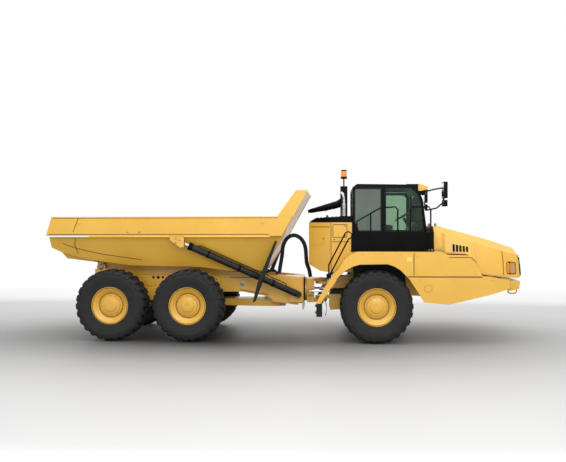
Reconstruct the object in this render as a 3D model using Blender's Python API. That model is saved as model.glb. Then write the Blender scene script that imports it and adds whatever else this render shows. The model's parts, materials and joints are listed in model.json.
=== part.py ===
"""Articulated dump truck: a six-wheeled hauler with a tipping body, hinged behind its cab.

Units are metres, +Z is up, +X is forward and +Y is the truck's left. Every piece is modelled
in datum coordinates, whose origin lies on the ground under the front axle. The datum itself is
placed so that the world origin is under the middle of the whole truck.
"""

import math

import bmesh
import bpy
import numpy as np
from mathutils import Matrix, Vector

# ---------------------------------------------------------------- driving dimensions
REAR_REACH = 7.235          # front axle back to the tail of the body
FRONT_REACH = 3.165         # front axle forward to the towing eyes
TAIL = -REAR_REACH          # rear end of the dump body
MID_AXLE = 4.09             # front axle back to the middle axle
BOGIE_SPACING = 1.72        # middle axle back to the rear axle
AXLE_HEIGHT = 0.785
TYRE_WIDTH = 0.59
TYRE_CENTRE = 1.14          # centre plane of a tyre from the truck's centre plane
RIM_RADIUS = 0.409          # outer edge of the rim flange
WHEEL_SIDES = 32
GAP = 0.0003                # between pieces that touch
MERGE = 0.00002             # points closer than this are one point
RUN = 0.006                 # running clearance between moving pieces

STEER_AXIS = -1.21          # vertical hitch pin
HITCH_HEIGHT = 1.05         # oscillation axis
RING_RADIUS = 0.27
RING_FACE = -1.60           # rear face of the oscillation ring
RING_FRONT = -1.515

FRAME_TOP = 1.40            # rear frame rails
BODY_TOP = 2.73             # top edge of the dump body's sides
RAIL_BOTTOM = 2.31          # bottom edge of the top rail
RAIL_HALF = 1.40            # outer half width of the top rail
RAIL_WALL = 0.10
SIDE_HALF = 1.24            # outer half width of the side plate under the rail
FLOOR_HALF = 0.86           # outer half width of the floor at FLOOR_LOW
FLOOR_LOW = 1.50            # underside of the floor at its lowest, at the front
PLATE = 0.03                # body plate
HINGE_X = -6.28             # body hinge
HINGE_Z = 1.58
GUARD_TOP = 3.29            # top of the headboard
GUARD_HALF = 1.28
GUARD_RAKE = 0.5554         # forward lean of the headboard, per metre of height
GUARD_FOOT = -2.461         # headboard's front face at GUARD_FOOT_Z
GUARD_FOOT_Z = 1.53

DECK_HEIGHT = 1.975         # walkway on top of the front fenders
SEAM_HEIGHT = 1.46          # upper edge of the skirts
FENDER_HALF = 1.42
SKIRT_INNER = 1.32
CAB_HALF = 0.85
CAB_REAR = -0.50
CAB_FLOOR = 1.985
CAB_ROOF = 3.45
SILL_HEIGHT = 2.38          # bottom of the side windows
HOOD_REAR = 1.29
HOOD_HINGE_X = 3.02
HOOD_HINGE_Z = 1.50
BOX_REAR = -1.47            # rear face of the compartment behind the cab
BOX_TOP = 2.60

FINISHES = {
    # name: (red, green, blue in linear light, metallic, roughness)
    "yellow_paint": (0.86, 0.45, 0.075, 0.0, 0.35),
    "black_paint": (0.012, 0.012, 0.013, 0.0, 0.4),
    "tyre_rubber": (0.022, 0.022, 0.022, 0.0, 0.85),
    "dark_glass": (0.03, 0.05, 0.045, 0.0, 0.05),
    "bright_steel": (0.6, 0.6, 0.6, 1.0, 0.25),
    "bare_steel": (0.3, 0.3, 0.3, 1.0, 0.4),
    "cab_trim": (0.03, 0.03, 0.032, 0.0, 0.7),
}


# ---------------------------------------------------------------- modelling helpers
def clear_scene():
    for item in list(bpy.data.objects):
        bpy.data.objects.remove(item, do_unlink=True)


def solid(vertices, faces):
    """Makes a closed mesh object with its faces pointing out."""
    mesh = bpy.data.meshes.new("solid")
    mesh.from_pydata([tuple(v) for v in vertices], [], faces)
    work = bmesh.new()
    work.from_mesh(mesh)
    bmesh.ops.recalc_face_normals(work, faces=work.faces)
    work.to_mesh(mesh)
    work.free()
    item = bpy.data.objects.new("solid", mesh)
    bpy.context.scene.collection.objects.link(item)
    return item


def loft(rings):
    """Joins closed rings of equally many points, in order, and caps both ends."""
    count = len(rings[0])
    vertices = [point for ring in rings for point in ring]
    faces = [tuple(range(count))[::-1]]
    for low in range(len(rings) - 1):
        base = low * count
        for k in range(count):
            after = (k + 1) % count
            faces.append((base + k, base + after, base + count + after, base + count + k))
    last = (len(rings) - 1) * count
    faces.append(tuple(range(last, last + count)))
    return solid(vertices, faces)


def prism(outline, low, high, across="Y"):
    """Extrudes a flat outline between two planes: (x, z) across Y, (x, y) across Z, (y, z) across X."""
    place = {
        "Y": lambda a, b, c: (a, c, b),
        "Z": lambda a, b, c: (a, b, c),
        "X": lambda a, b, c: (c, a, b),
    }[across]
    return loft([[place(a, b, c) for a, b in outline] for c in (low, high)])


def box(x, y, z):
    """A block between the pairs of limits x, y and z."""
    outline = [(x[0], z[0]), (x[1], z[0]), (x[1], z[1]), (x[0], z[1])]
    return prism(outline, y[0], y[1])


def frames(points):
    """Unit normals and binormals carried along a line of points without twist."""
    points = [Vector(p) for p in points]
    result = []
    normal = None
    for k, point in enumerate(points):
        before = points[max(k - 1, 0)]
        after = points[min(k + 1, len(points) - 1)]
        tangent = (after - before).normalized()
        if normal is None:
            helper = Vector((0, 0, 1)) if abs(tangent.z) < 0.9 else Vector((1, 0, 0))
            normal = (helper - helper.dot(tangent) * tangent).normalized()
        else:
            normal = (normal - normal.dot(tangent) * tangent).normalized()
        result.append((point, normal, tangent.cross(normal)))
    return result


def tube(points, radius, sides=8):
    """A round bar along a line of points; radius is one value or one for each point."""
    radii = radius if isinstance(radius, (list, tuple)) else [radius] * len(points)
    rings = []
    for (point, normal, binormal), r in zip(frames(points), radii):
        angles = [2 * math.pi * (k + 0.5) / sides for k in range(sides)]
        rings.append([point + r * (math.cos(a) * normal + math.sin(a) * binormal) for a in angles])
    return loft(rings) if len(points) == 2 else split_faces(loft(rings))


def split_faces(item):
    """Splits faces that may not be flat into triangles, so that a Boolean can trust them."""
    work = bmesh.new()
    work.from_mesh(item.data)
    bmesh.ops.triangulate(work, faces=work.faces)
    work.to_mesh(item.data)
    work.free()
    return item


def rod(start, end, radius, sides=12):
    return tube([start, end], radius, sides)


def turned(profile, sides, centre):
    """A ring turned about the Y axis through centre, from a closed (radius, y) profile."""
    rings = []
    for k in range(sides):
        angle = 2 * math.pi * (k + 0.5) / sides
        rings.append([(centre[0] + r * math.sin(angle), centre[1] + y, centre[2] - r * math.cos(angle))
                      for r, y in profile])
    count = len(profile)
    faces = []
    for k in range(sides):
        here, there = k * count, ((k + 1) % sides) * count
        for j in range(count):
            after = (j + 1) % count
            faces.append((here + j, here + after, there + after, there + j))
    item = solid([p for ring in rings for p in ring], faces)
    if min(r for r, _ in profile) < GAP:
        close_poles(item)
    return item


def close_poles(item):
    """Merges the points of a turned shape that lie on its axis."""
    work = bmesh.new()
    work.from_mesh(item.data)
    bmesh.ops.remove_doubles(work, verts=work.verts, dist=GAP / 10)
    bmesh.ops.dissolve_degenerate(work, edges=work.edges, dist=GAP / 10)
    bmesh.ops.recalc_face_normals(work, faces=work.faces)
    work.to_mesh(item.data)
    work.free()


def boolean(base, tools, operation):
    """Applies an exact Boolean of each tool to base, in order, and removes the tools."""
    for tool in tools:
        modifier = base.modifiers.new("boolean", "BOOLEAN")
        modifier.operation = operation
        modifier.solver = "EXACT"
        modifier.object = tool
        bpy.context.view_layer.update()
        graph = bpy.context.evaluated_depsgraph_get()
        result = bpy.data.meshes.new_from_object(base.evaluated_get(graph))
        base.modifiers.clear()
        base.data = result
        bpy.data.objects.remove(tool, do_unlink=True)
    return base


def join(base, *others):
    return boolean(base, others, "UNION")


def carve(base, *cutters):
    return boolean(base, cutters, "DIFFERENCE")


def mirrored(item):
    """A copy on the other side of the truck's centre plane."""
    mesh = item.data.copy()
    mesh.transform(Matrix.Scale(-1, 4, (0, 1, 0)))
    mesh.flip_normals()
    copy = bpy.data.objects.new("copy", mesh)
    bpy.context.scene.collection.objects.link(copy)
    return copy


def mirror_only(item):
    """A piece moved to the other side of the truck's centre plane."""
    copy = mirrored(item)
    bpy.data.objects.remove(item, do_unlink=True)
    return copy


def tidy(item):
    """Merges the points that Booleans leave within a hair of each other."""
    work = bmesh.new()
    work.from_mesh(item.data)
    bmesh.ops.remove_doubles(work, verts=work.verts, dist=MERGE)
    bmesh.ops.dissolve_degenerate(work, edges=work.edges, dist=MERGE)
    bmesh.ops.triangulate(work, faces=[face for face in work.faces if len(face.verts) > 4])
    work.to_mesh(item.data)
    work.free()


def dress(item, name, finish):
    """Names a finished piece, gives it its material and smooths its round faces."""
    tidy(item)
    red, green, blue, metallic, roughness = FINISHES[finish]
    item.name = name
    item.data.name = name
    material = bpy.data.materials.new(f"{name}_{finish}")
    material.use_nodes = True
    shader = material.node_tree.nodes["Principled BSDF"]
    shader.inputs["Base Color"].default_value = (red, green, blue, 1.0)
    shader.inputs["Metallic"].default_value = metallic
    shader.inputs["Roughness"].default_value = roughness
    item.data.materials.clear()
    item.data.materials.append(material)
    item.data.shade_smooth()
    item.data.set_sharp_from_angle(angle=math.radians(35))
    return item


def on_joint(item, point):
    """Moves a piece's origin onto its joint, leaving its shape where it is."""
    item.data.transform(Matrix.Translation(-Vector(point)))
    item.location = point
    return item


def arc(centre, radius, start, end, steps):
    """Points on an arc, with angles in degrees from the first axis."""
    angles = np.radians(np.linspace(start, end, steps + 1))
    return [(centre[0] + radius * math.cos(a), centre[1] + radius * math.sin(a)) for a in angles]


# ---------------------------------------------------------------- wheels and axles
TYRE_RADIUS = AXLE_HEIGHT / math.cos(math.pi / WHEEL_SIDES)    # a flat of the tread lies on the ground
BEAD_RADIUS = RIM_RADIUS - 0.012
RIM_FACE = 0.235            # outer flange from the tyre's centre plane
WELL_RADIUS = 0.285         # the dish inside the rim
HUB_RADIUS = 0.215
HUB_FACE = 0.20             # hub cover from the tyre's centre plane
SPINDLE_RADIUS = 0.12
AXLES = {"front": 0.0, "mid": -MID_AXLE, "rear": -MID_AXLE - BOGIE_SPACING}


def wheel_profiles():
    """Closed (radius, offset) profiles of a tyre and of its rim with hub; offset grows outwards."""
    half = TYRE_WIDTH / 2
    tyre = [
        (BEAD_RADIUS, -0.22), (BEAD_RADIUS, 0.22), (RIM_RADIUS + 0.02, 0.262), (0.55, half),
        (0.64, half), (0.735, 0.27), (TYRE_RADIUS, 0.235),
        (TYRE_RADIUS, -0.235), (0.735, -0.27), (0.64, -half), (0.55, -half), (RIM_RADIUS + 0.02, -0.262),
    ]
    barrel = BEAD_RADIUS - GAP
    rim = [
        (barrel, -0.2197), (barrel, 0.2197), (RIM_RADIUS, RIM_FACE + 0.012),
           (RIM_RADIUS - 0.035, RIM_FACE + 0.012),
        (WELL_RADIUS + 0.02, 0.19), (WELL_RADIUS, 0.11), (HUB_RADIUS + 0.02, 0.11),
           (HUB_RADIUS, HUB_FACE - 0.03),
        (HUB_RADIUS - 0.045, HUB_FACE), (0.0, HUB_FACE), (0.0, 0.06),
        (0.18, 0.06), (0.30, 0.04), (0.36, 0.0), (0.365, -0.2197),
    ]
    return tyre, rim


def wheel(axle, side):
    """A tyre and its rim; side is -1 on the right and 1 on the left."""
    centre = (AXLES[axle], side * TYRE_CENTRE, AXLE_HEIGHT)
    tyre, rim = ([(r, side * y) for r, y in profile] for profile in wheel_profiles())
    place = "right" if side < 0 else "left"
    return [
        on_joint(dress(turned(tyre, WHEEL_SIDES, centre), f"tyre_{axle}_{place}", "tyre_rubber"), centre),
        on_joint(dress(turned(rim, WHEEL_SIDES, centre), f"rim_{axle}_{place}", "yellow_paint"), centre),
    ]


def axle_beam(axle):
    """An axle housing with its differential and a brake drum that reaches into each rim."""
    x = AXLES[axle]
    drum_end = TYRE_CENTRE + 0.02
    housing = rod((x, -1.0, AXLE_HEIGHT), (x, 1.0, AXLE_HEIGHT), SPINDLE_RADIUS, 14)
    bulb_points = [(x, y, AXLE_HEIGHT) for y in (-0.34, -0.2, 0.0, 0.2, 0.34)]
    bulb = tube(bulb_points, [0.13, 0.25, 0.28, 0.25, 0.13], 16)
    drums = [rod((x, side * 0.86, AXLE_HEIGHT), (x, side * drum_end, AXLE_HEIGHT), 0.24, 18)
             for side in (-1, 1)]
    seats = [box((x - 0.16, x + 0.16), sorted((side * 0.56, side * 0.72)),
                 (AXLE_HEIGHT - 0.15, AXLE_HEIGHT + 0.15))
             for side in (-1, 1)] if axle != "front" else []
    arms = [draft_arm()] if axle == "mid" else []
    return dress(join(housing, bulb, *drums, *seats, *arms), f"{axle}_axle", "yellow_paint")


# ---------------------------------------------------------------- rear frame
BEAM_INNER = 0.37           # rear frame side beams
BEAM_OUTER = 0.50
BODY_RAIL_INNER = 0.36
BODY_RAIL_OUTER = 0.49
EAR_INNER = BODY_RAIL_OUTER + RUN
EAR_OUTER = 0.60
HINGE_PIN = 0.05
DRAFT_PIVOT_X = -2.17
DRAFT_PIVOT_Z = 0.76
BOGIE_PIVOT_X = -MID_AXLE - BOGIE_SPACING / 2
BOGIE_PIVOT_Z = 0.98
HOIST_FOOT = Vector((-1.70, 0.70, 0.98))      # hoist barrel's lower pin, left side
HOIST_HEAD = Vector((-4.20, 1.29, 2.15))      # hoist rod's eye at rest, left side


def rear_frame():
    """Two deep beams from the oscillation ring to the body hinge, with cross tubes."""
    side = [
        (-2.30, 0.80), (-1.72, 0.72), (-1.72, FRAME_TOP - 0.04), (-2.15, FRAME_TOP), (-5.95, FRAME_TOP),
        (-6.10, FRAME_TOP), (-6.42, FRAME_TOP), (-6.42, 1.10), (-6.10, 1.02), (-3.00, 1.02), (-2.35, 0.90),
    ]
    beam = prism(side, BEAM_INNER, BEAM_OUTER)
    ear = prism([(-6.10, 1.30), (-6.42, 1.30), (-6.42, HINGE_Z - 0.05)]
                + arc((HINGE_X, HINGE_Z), 0.10, 200, -20, 8) + [(-6.10, HINGE_Z - 0.05)],
                EAR_INNER, EAR_OUTER)
    foot_of_ear = box((-6.42, -6.10), (BEAM_OUTER - 0.01, EAR_OUTER), (1.25, 1.36))
    lug = prism([(-1.90, 1.16), (-1.90, 0.80), (-1.62, 0.80), (-1.60, 1.10)], BEAM_OUTER - 0.01,
                HOIST_FOOT.y - 0.09)
    pivot = rod((BOGIE_PIVOT_X, BEAM_OUTER - 0.01, BOGIE_PIVOT_Z),
                (BOGIE_PIVOT_X, 0.56 - GAP, BOGIE_PIVOT_Z), 0.11, 16)
    tower = prism([(BOGIE_PIVOT_X - 0.42, FRAME_TOP - 0.02), (BOGIE_PIVOT_X - 0.10, 1.0),
                   (BOGIE_PIVOT_X + 0.10, 1.0), (BOGIE_PIVOT_X + 0.42, FRAME_TOP - 0.02)],
                  BEAM_OUTER - 0.01, BEAM_OUTER + 0.045)
    left = join(beam, ear, foot_of_ear, lug, pivot, tower)
    right = mirrored(left)
    tubes = [rod((x, -BEAM_OUTER + 0.02, z), (x, BEAM_OUTER - 0.02, z), r, 14)
             for x, z, r in ((-3.0, 1.20, 0.11), (BOGIE_PIVOT_X, 1.22, 0.11), (-6.26, 1.24, 0.10))]
    neck = box((-2.05, RING_FACE - 0.02), (-BEAM_OUTER + 0.01, BEAM_OUTER - 0.01),
               (0.76, FRAME_TOP - 0.045))
    pin = rod((HINGE_X, -EAR_OUTER + 0.01, HINGE_Z), (HINGE_X, EAR_OUTER - 0.01, HINGE_Z), HINGE_PIN, 16)
    flange = box((-1.63, RING_FACE), (-0.42, 0.42), (0.61, FRAME_TOP - 0.045))
    hanger = box((DRAFT_PIVOT_X - 0.12, DRAFT_PIVOT_X + 0.14), (-0.16, 0.16), (0.66, 0.90))
    return dress(join(left, right, neck, flange, pin, hanger, *tubes), "rear_frame", "yellow_paint")


def draft_arm():
    """The arm that pulls the middle axle from the frame, forked round the frame's hanger."""
    reach = -MID_AXLE
    arm = prism([(reach, -0.10), (reach, 0.10), (DRAFT_PIVOT_X - 0.45, 0.30), (DRAFT_PIVOT_X + 0.02, 0.30),
                 (DRAFT_PIVOT_X + 0.02, -0.30), (DRAFT_PIVOT_X - 0.45, -0.30)],
                DRAFT_PIVOT_Z - 0.09, DRAFT_PIVOT_Z + 0.07, "Z")
    slot = box((DRAFT_PIVOT_X - 0.14, DRAFT_PIVOT_X + 0.20), (-0.16 - GAP, 0.16 + GAP), (0.5, 1.2))
    return carve(arm, slot)


def walking_beam():
    """The left beam that spreads the load over both rear axles."""
    front, rear = -MID_AXLE, -MID_AXLE - BOGIE_SPACING
    low = AXLE_HEIGHT + 0.15 + GAP
    outline = [(front + 0.16, low), (front + 0.16, low + 0.10), (BOGIE_PIVOT_X + 0.25, 1.14),
               (BOGIE_PIVOT_X - 0.25, 1.14), (rear - 0.16, low + 0.10), (rear - 0.16, low),
               (rear + 0.25, low), (BOGIE_PIVOT_X - 0.25, 0.84), (BOGIE_PIVOT_X + 0.25, 0.84),
               (front - 0.25, low)]
    return prism(outline, 0.56, 0.72)


# ---------------------------------------------------------------- hitch
def hitch():
    """The yoke between the steering pin and the oscillation ring."""
    ring = rod((RING_FACE + RUN, 0, HITCH_HEIGHT), (RING_FRONT, 0, HITCH_HEIGHT), RING_RADIUS, 28)
    block = box((RING_FRONT - 0.01, -1.37), (-0.31, 0.31), (0.765, 1.31))
    ears = [prism([(-1.38, -0.24)] + arc((STEER_AXIS, 0), 0.14, -80, 80, 8) + [(-1.38, 0.24)], low, high,
                  "Z")
            for low, high in ((0.765, 0.83), (1.245, 1.31))]
    holes = rod((STEER_AXIS, 0, 0.7), (STEER_AXIS, 0, 1.4), 0.065, 18)
    lugs = [box((-1.50, -1.40), sorted((side * 0.29, side * 0.45)), (0.96, 0.985)) for side in (-1, 1)]
    return dress(carve(join(block, ring, *ears, *lugs), holes), "hitch_yoke", "yellow_paint")


# ---------------------------------------------------------------- dump body
def body_floor(x):
    """Height of the floor's underside at x: nearly level, then rising to the tail."""
    stations = [TAIL, TAIL + 0.245, -6.40, -5.50, -3.90, -3.20, -1.0]
    heights = [2.05, 1.93, 1.77, 1.645, 1.61, 1.52, 1.50]
    return float(np.interp(x, stations, heights))


def side_half(z):
    """Outer half width of the flat, sloping side plate at height z."""
    share = (z - FLOOR_LOW) / (RAIL_BOTTOM - FLOOR_LOW)
    return FLOOR_HALF + share * (SIDE_HALF - FLOOR_HALF)


def body_ring(x, wall=0.0):
    """The body's cross-section at x: its outer skin, or with a wall the space inside it."""
    low = body_floor(x) + wall
    if not wall:
        half = [(side_half(low), low), (SIDE_HALF, RAIL_BOTTOM), (RAIL_HALF, RAIL_BOTTOM + 0.002),
                (RAIL_HALF, BODY_TOP)]
    else:
        knee = RAIL_BOTTOM - 0.04
        inside = RAIL_HALF - RAIL_WALL
        half = [(side_half(low) - wall, low), (side_half(knee) - wall, knee), (inside, RAIL_BOTTOM + 0.01),
                (inside, BODY_TOP + 0.5)]
    return [(x, y, z) for y, z in half] + [(x, -y, z) for y, z in reversed(half)]


def guard_face(z):
    """Forward face of the headboard at height z."""
    return GUARD_FOOT + (z - GUARD_FOOT_Z) * GUARD_RAKE


def headboard_post():
    """The left edge post of the headboard, which follows the sloping side and stands above it."""
    rings = []
    for z, depth, outer in ((1.54, 0.24, side_half(1.54) + 0.03), (RAIL_BOTTOM, 0.26, SIDE_HALF + 0.04),
                            (BODY_TOP + 0.02, 0.334, GUARD_HALF + 0.025),
                            (GUARD_TOP + 0.006, 0.245, GUARD_HALF + 0.025)):
        front, back = guard_face(z) + 0.01, guard_face(z) - depth
        rings.append([(back, outer - 0.08, z), (front, outer - 0.08, z), (front, outer, z),
                      (back, outer, z)])
    return split_faces(loft(rings))


def dump_body():
    """The tipping tub: raked headboard with side posts, railed sides and a floor rising to an open tail."""
    stations = [TAIL, TAIL + 0.245, -6.40, -5.50, -3.90, -3.20, guard_face(GUARD_TOP)]
    shell = loft([body_ring(x) for x in stations])
    ahead = prism([(guard_face(1.3), 1.3), (guard_face(3.5), 3.5), (0.0, 3.5), (0.0, 1.3)], -2, 2)
    behind = prism([(TAIL - 0.265, 3.0), (TAIL + 0.135, 3.0), (TAIL + 0.13, BODY_TOP), (TAIL, RAIL_BOTTOM),
                    (TAIL + 0.01, 2.05), (TAIL + 0.245, 1.80),
                    (TAIL + 0.245, 1.5), (TAIL - 0.265, 1.5)], -2, 2)
    panel = prism([(guard_face(2.4) - 0.004, 2.4), (guard_face(GUARD_TOP) - 0.004, GUARD_TOP),
                   (guard_face(GUARD_TOP) - 0.054, GUARD_TOP), (guard_face(2.4) - 0.054, 2.4)],
                  -GUARD_HALF + 0.02, GUARD_HALF - 0.02)
    post = headboard_post()
    lip = prism([(-6.30, 1.71), (TAIL + 0.25, 1.79), (TAIL + 0.135, 1.88), (TAIL + 0.03, 2.045),
                 (TAIL + 0.235, 1.95), (-6.40, 1.79)],
                -FLOOR_HALF + 0.035, FLOOR_HALF - 0.035)
    under = [(-2.52, 1.515), (-2.52, FRAME_TOP + RUN), (-5.95, FRAME_TOP + RUN), (-6.06, HINGE_Z - 0.10)]
    over = [(-6.42, 1.79), (-6.30, 1.765), (-5.5, 1.655), (-3.90, 1.622), (-3.20, 1.532)]
    rail = prism(under + arc((HINGE_X, HINGE_Z), 0.10, -60, -180, 6) + over, BODY_RAIL_INNER,
                 BODY_RAIL_OUTER)
    bore = rod((HINGE_X, -1, HINGE_Z), (HINGE_X, 1, HINGE_Z), HINGE_PIN + RUN, 16)
    bracket = prism([(-4.48, RAIL_BOTTOM + 0.02), (-4.46, 2.22), (-4.24, 2.06), (-4.16, 2.07),
                     (-4.15, RAIL_BOTTOM + 0.02)],
                    HOIST_HEAD.y + 0.086, RAIL_HALF - 0.008)
    outer = carve(join(carve(shell, ahead), lip, rail, mirrored(rail)), behind)
    hollow = loft([body_ring(x, PLATE) for x in (TAIL - 0.365, TAIL, TAIL + 0.245, -6.40, -5.50, -3.90,
                                                 -3.20, -1.0)])
    hollow = carve(hollow, prism([(guard_face(1.0) - 0.05, 1.0), (guard_face(4.0) - 0.05, 4.0),
                                  (0.0, 4.0), (0.0, 1.0)], -2, 2))
    tub = join(carve(outer, hollow), panel, post, mirrored(post), bracket, mirrored(bracket))
    return dress(carve(tub, bore), "dump_body", "yellow_paint")


def mud_flap():
    """The left rubber flap ahead of the middle wheel, in line with the headboard."""
    rings = [[(back, inner, z), (front, inner, z), (front, 1.395, z), (back, 1.395, z)]
             for z, back, front, inner in ((0.88, -2.66, -2.625, 0.99), (1.38, -2.53, -2.44, 0.99),
                                           (2.20, -2.175, -2.135, 1.275))]
    return split_faces(loft(rings))


# ---------------------------------------------------------------- cylinders
def cylinder(foot, head, bore, rod_radius, eye, barrel_share, inner_end, side):
    """A hydraulic cylinder from foot to head: (barrel, rod), each ending in an eye that lies along side.

    inner_end is how far the rod's hidden end stands from the foot pin."""
    foot, head = Vector(foot), Vector(head)
    line = (head - foot).normalized()
    split = foot + line * (head - foot).length * barrel_share
    barrel = join(rod(foot + line * eye * 0.6, split, bore, 16),
                  rod(foot - side * eye * 0.7, foot + side * eye * 0.7, eye, 14))
    hole = rod(foot + line * (eye + 0.05), split + line * 0.1, rod_radius + 0.004, 12)
    barrel = carve(barrel, hole)
    shaft = join(rod(foot + line * inner_end, head - line * eye * 0.5, rod_radius, 12),
                 rod(head - side * eye * 0.7, head + side * eye * 0.7, eye, 14))
    return barrel, shaft


# ---------------------------------------------------------------- front frame
STEER_FOOT = Vector((-0.25, 0.44, 1.03))      # steering barrel's pin on the front frame, left side
STEER_HEAD = Vector((-1.45, 0.40, 1.03))      # steering rod's eye at the hitch yoke
CHASSIS_OUTER = 0.36


def front_frame():
    """Two rails from the hitch ears to the bumper, with the outriggers that carry deck and skirts."""
    side = [(-1.00, 0.60), (-0.64, 0.62), (-0.36, 1.07), (0.36, 1.07), (0.62, 0.95), (1.00, 0.93),
            (1.60, 0.82),
            (2.30, 0.98), (2.86, 1.10), (2.86, 1.33), (1.30, 1.30), (-0.30, 1.34), (-1.02, 1.36)]
    rail = prism(side, 0.27, CHASSIS_OUTER)
    rails = [rail, mirrored(rail)]
    cross = [box((x - 0.05, x + 0.05), (-half, half), (low, high))
             for x, half, low, high in ((-0.97, 0.30, 0.66, 0.95), (-0.97, 0.22, 0.94, 1.12),
                                        (-0.97, 0.30, 1.11, 1.33),
                                        (1.20, 0.30, 1.00, 1.10), (2.80, 0.30, 1.12, 1.32))]
    slots = [box((-1.05, -0.34), sorted((side * 0.20, side * 0.40)), (0.96, 1.10)) for side in (-1, 1)]
    ears = [prism([(-0.98, -0.20)] + arc((STEER_AXIS, 0), 0.13, -100, -260, 8) + [(-0.98, 0.20)], low,
                  high, "Z")
            for low, high in ((0.838, 0.90), (1.175, 1.237))]
    pins = [rod((STEER_AXIS, 0, low), (STEER_AXIS, 0, high), 0.057, 18) for low,
            high in ((0.76, 0.89), (1.18, 1.318))]
    saddle = [box((-0.16, 0.16), sorted((side * 0.345, side * 0.52)),
                  (AXLE_HEIGHT + SPINDLE_RADIUS + GAP, 1.12)) for side in (-1, 1)]
    outriggers = [box((x - 0.04, x + 0.04), sorted((side * 0.30, side * reach)), (1.24, 1.30))
                  for x, reach in ((-0.93, 0.86 - GAP), (0.98, SKIRT_INNER - GAP),
                                   (2.20, SKIRT_INNER - GAP))
                  for side in (-1, 1)]
    stays = [rod((0.98, side * 1.20, 1.28), (0.98, side * 1.20, SEAM_HEIGHT - GAP), 0.035,
                 8) for side in (-1, 1)]
    lugs = [box((-0.33, -0.15), sorted((side * 0.34, side * 0.50)), (0.96, 0.985)) for side in (-1, 1)]
    slotted = [carve(rail, slot) for rail, slot in zip(rails, reversed(slots))]
    return dress(join(*slotted, *cross, *ears, *pins, *saddle, *outriggers, *stays, *lugs),
                 "front_frame", "yellow_paint")


def engine():
    return dress(box((1.35, 2.62), (-0.25, 0.25), (1.12, 1.90)), "engine_block", "bare_steel")


ARCH_OUTER = [(-1.30, 0.86), (-0.98, 1.40), (-0.80, 1.62), (-0.68, 1.80), (-0.52, 1.93),
              (-0.40, DECK_HEIGHT)]
ARCH_INNER = [(-1.20, 0.86), (-0.81, 1.44), (-0.66, 1.57), (-0.53, 1.65), (-0.36, 1.70), (0.23, 1.71),
              (0.37, 1.66),
              (0.50, 1.58), (0.617, SEAM_HEIGHT)]


def fender():
    """The left fender: a curved shell over the front wheel, its outer side turned down, its top a deck."""
    outer = ARCH_OUTER + [(0.785, DECK_HEIGHT), (0.785, SEAM_HEIGHT)]
    block = prism(outer + ARCH_INNER[::-1], 0.86, FENDER_HALF)
    hollow_outer = [(-1.23, 0.80), (-0.90, 1.46), (-0.72, 1.68), (-0.58, 1.82), (-0.42, 1.90),
                    (-0.38, DECK_HEIGHT - 0.04),
                    (0.90, DECK_HEIGHT - 0.04), (0.90, 1.20), (0.5, 1.0)]
    hollow = prism(hollow_outer, 0.5, FENDER_HALF - 0.05)
    liner = prism([(-0.95, 1.20)] + ARCH_INNER[1:] + [(0.65, 1.49), (0.53, 1.61), (0.38, 1.70),
                                                      (0.23, 1.75),
                  (-0.36, 1.74), (-0.55, 1.685), (-0.69, 1.595), (-0.84, 1.46), (-0.98, 1.22)], 0.88,
                  FENDER_HALF - 0.01)
    wall = prism([(-0.50, 1.12), (-0.50, 1.70), (0.23, 1.73), (0.37, 1.68), (0.50, 1.61), (0.66, 1.45),
                  (0.70, 1.12)],
                 0.79, 0.83)
    ledge = prism([(-0.50, 1.69), (-0.50, 1.705), (-0.36, 1.72), (0.23, 1.73), (0.37, 1.68),
                   (0.355, 1.665)], 0.80, 0.90)
    shell = join(carve(block, hollow), liner, wall, ledge, side_panel(), steps())
    swing = box((-1.40, -0.86), (0.80, 1.20), (0.70, 1.235))
    return carve(shell, swing, box((-1.40, -0.985), (0.80, 1.00), (1.20, 1.36)))


def side_panel():
    """The left panel between fender and hood."""
    outline = [(0.785 - 0.02, SEAM_HEIGHT), (0.785 - 0.02, DECK_HEIGHT), (1.37, DECK_HEIGHT),
               (1.50, 1.90), (1.93, 1.89),
               (2.03, 1.83), (2.10, 1.72), (2.17, 1.54), (2.21, SEAM_HEIGHT)]
    rings = [[(x, y, z) for x, z in outline] for y in (1.10, 1.40)]
    return loft(rings)


def skirt():
    """The left lower panel from the wheel arch to the bumper, drawn in towards the nose."""
    low_edge = [(0.69, 1.385), (1.00, 0.90), (1.50, 0.86), (2.33, 1.06), (2.76, 1.20)]
    top_edge = [(2.76, 1.385), (2.33, SEAM_HEIGHT - 0.006), (0.62, SEAM_HEIGHT - 0.006)]
    return prism(low_edge + top_edge, SKIRT_INNER, FENDER_HALF)


def bumper():
    """Cross-beam at the nose with two towing eyes."""
    beam = prism([(2.87, 1.12), (3.06, 1.16), (3.08, 1.335), (2.87, 1.335)], -1.02, 1.02)
    eyes = []
    for side in (-1, 1):
        plate = prism([(3.0, 1.14), (3.09, 1.11)] + arc((3.10, 1.19), 0.065, -90, 90, 6) + [(3.0, 1.27)],
                      side * 0.36 - 0.025, side * 0.36 + 0.025)
        eyes.append(carve(plate, rod((3.10, side * 0.5, 1.19), (3.10, side * 0.2, 1.19), 0.03, 12)))
    return dress(join(beam, *eyes), "bumper", "yellow_paint")


# ---------------------------------------------------------------- hood
def hood_ring(x, low, half_low, shoulder, half_shoulder, top, half_top, wall=0.0):
    half = [(half_low - wall, low - (0.2 if wall else 0.0)), (half_low - wall, low + 0.03),
            (half_shoulder - wall, shoulder - wall), (half_top - wall, top - wall)]
    return [(x, y, z) for y, z in half] + [(x, -y, z) for y, z in reversed(half)]


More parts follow.
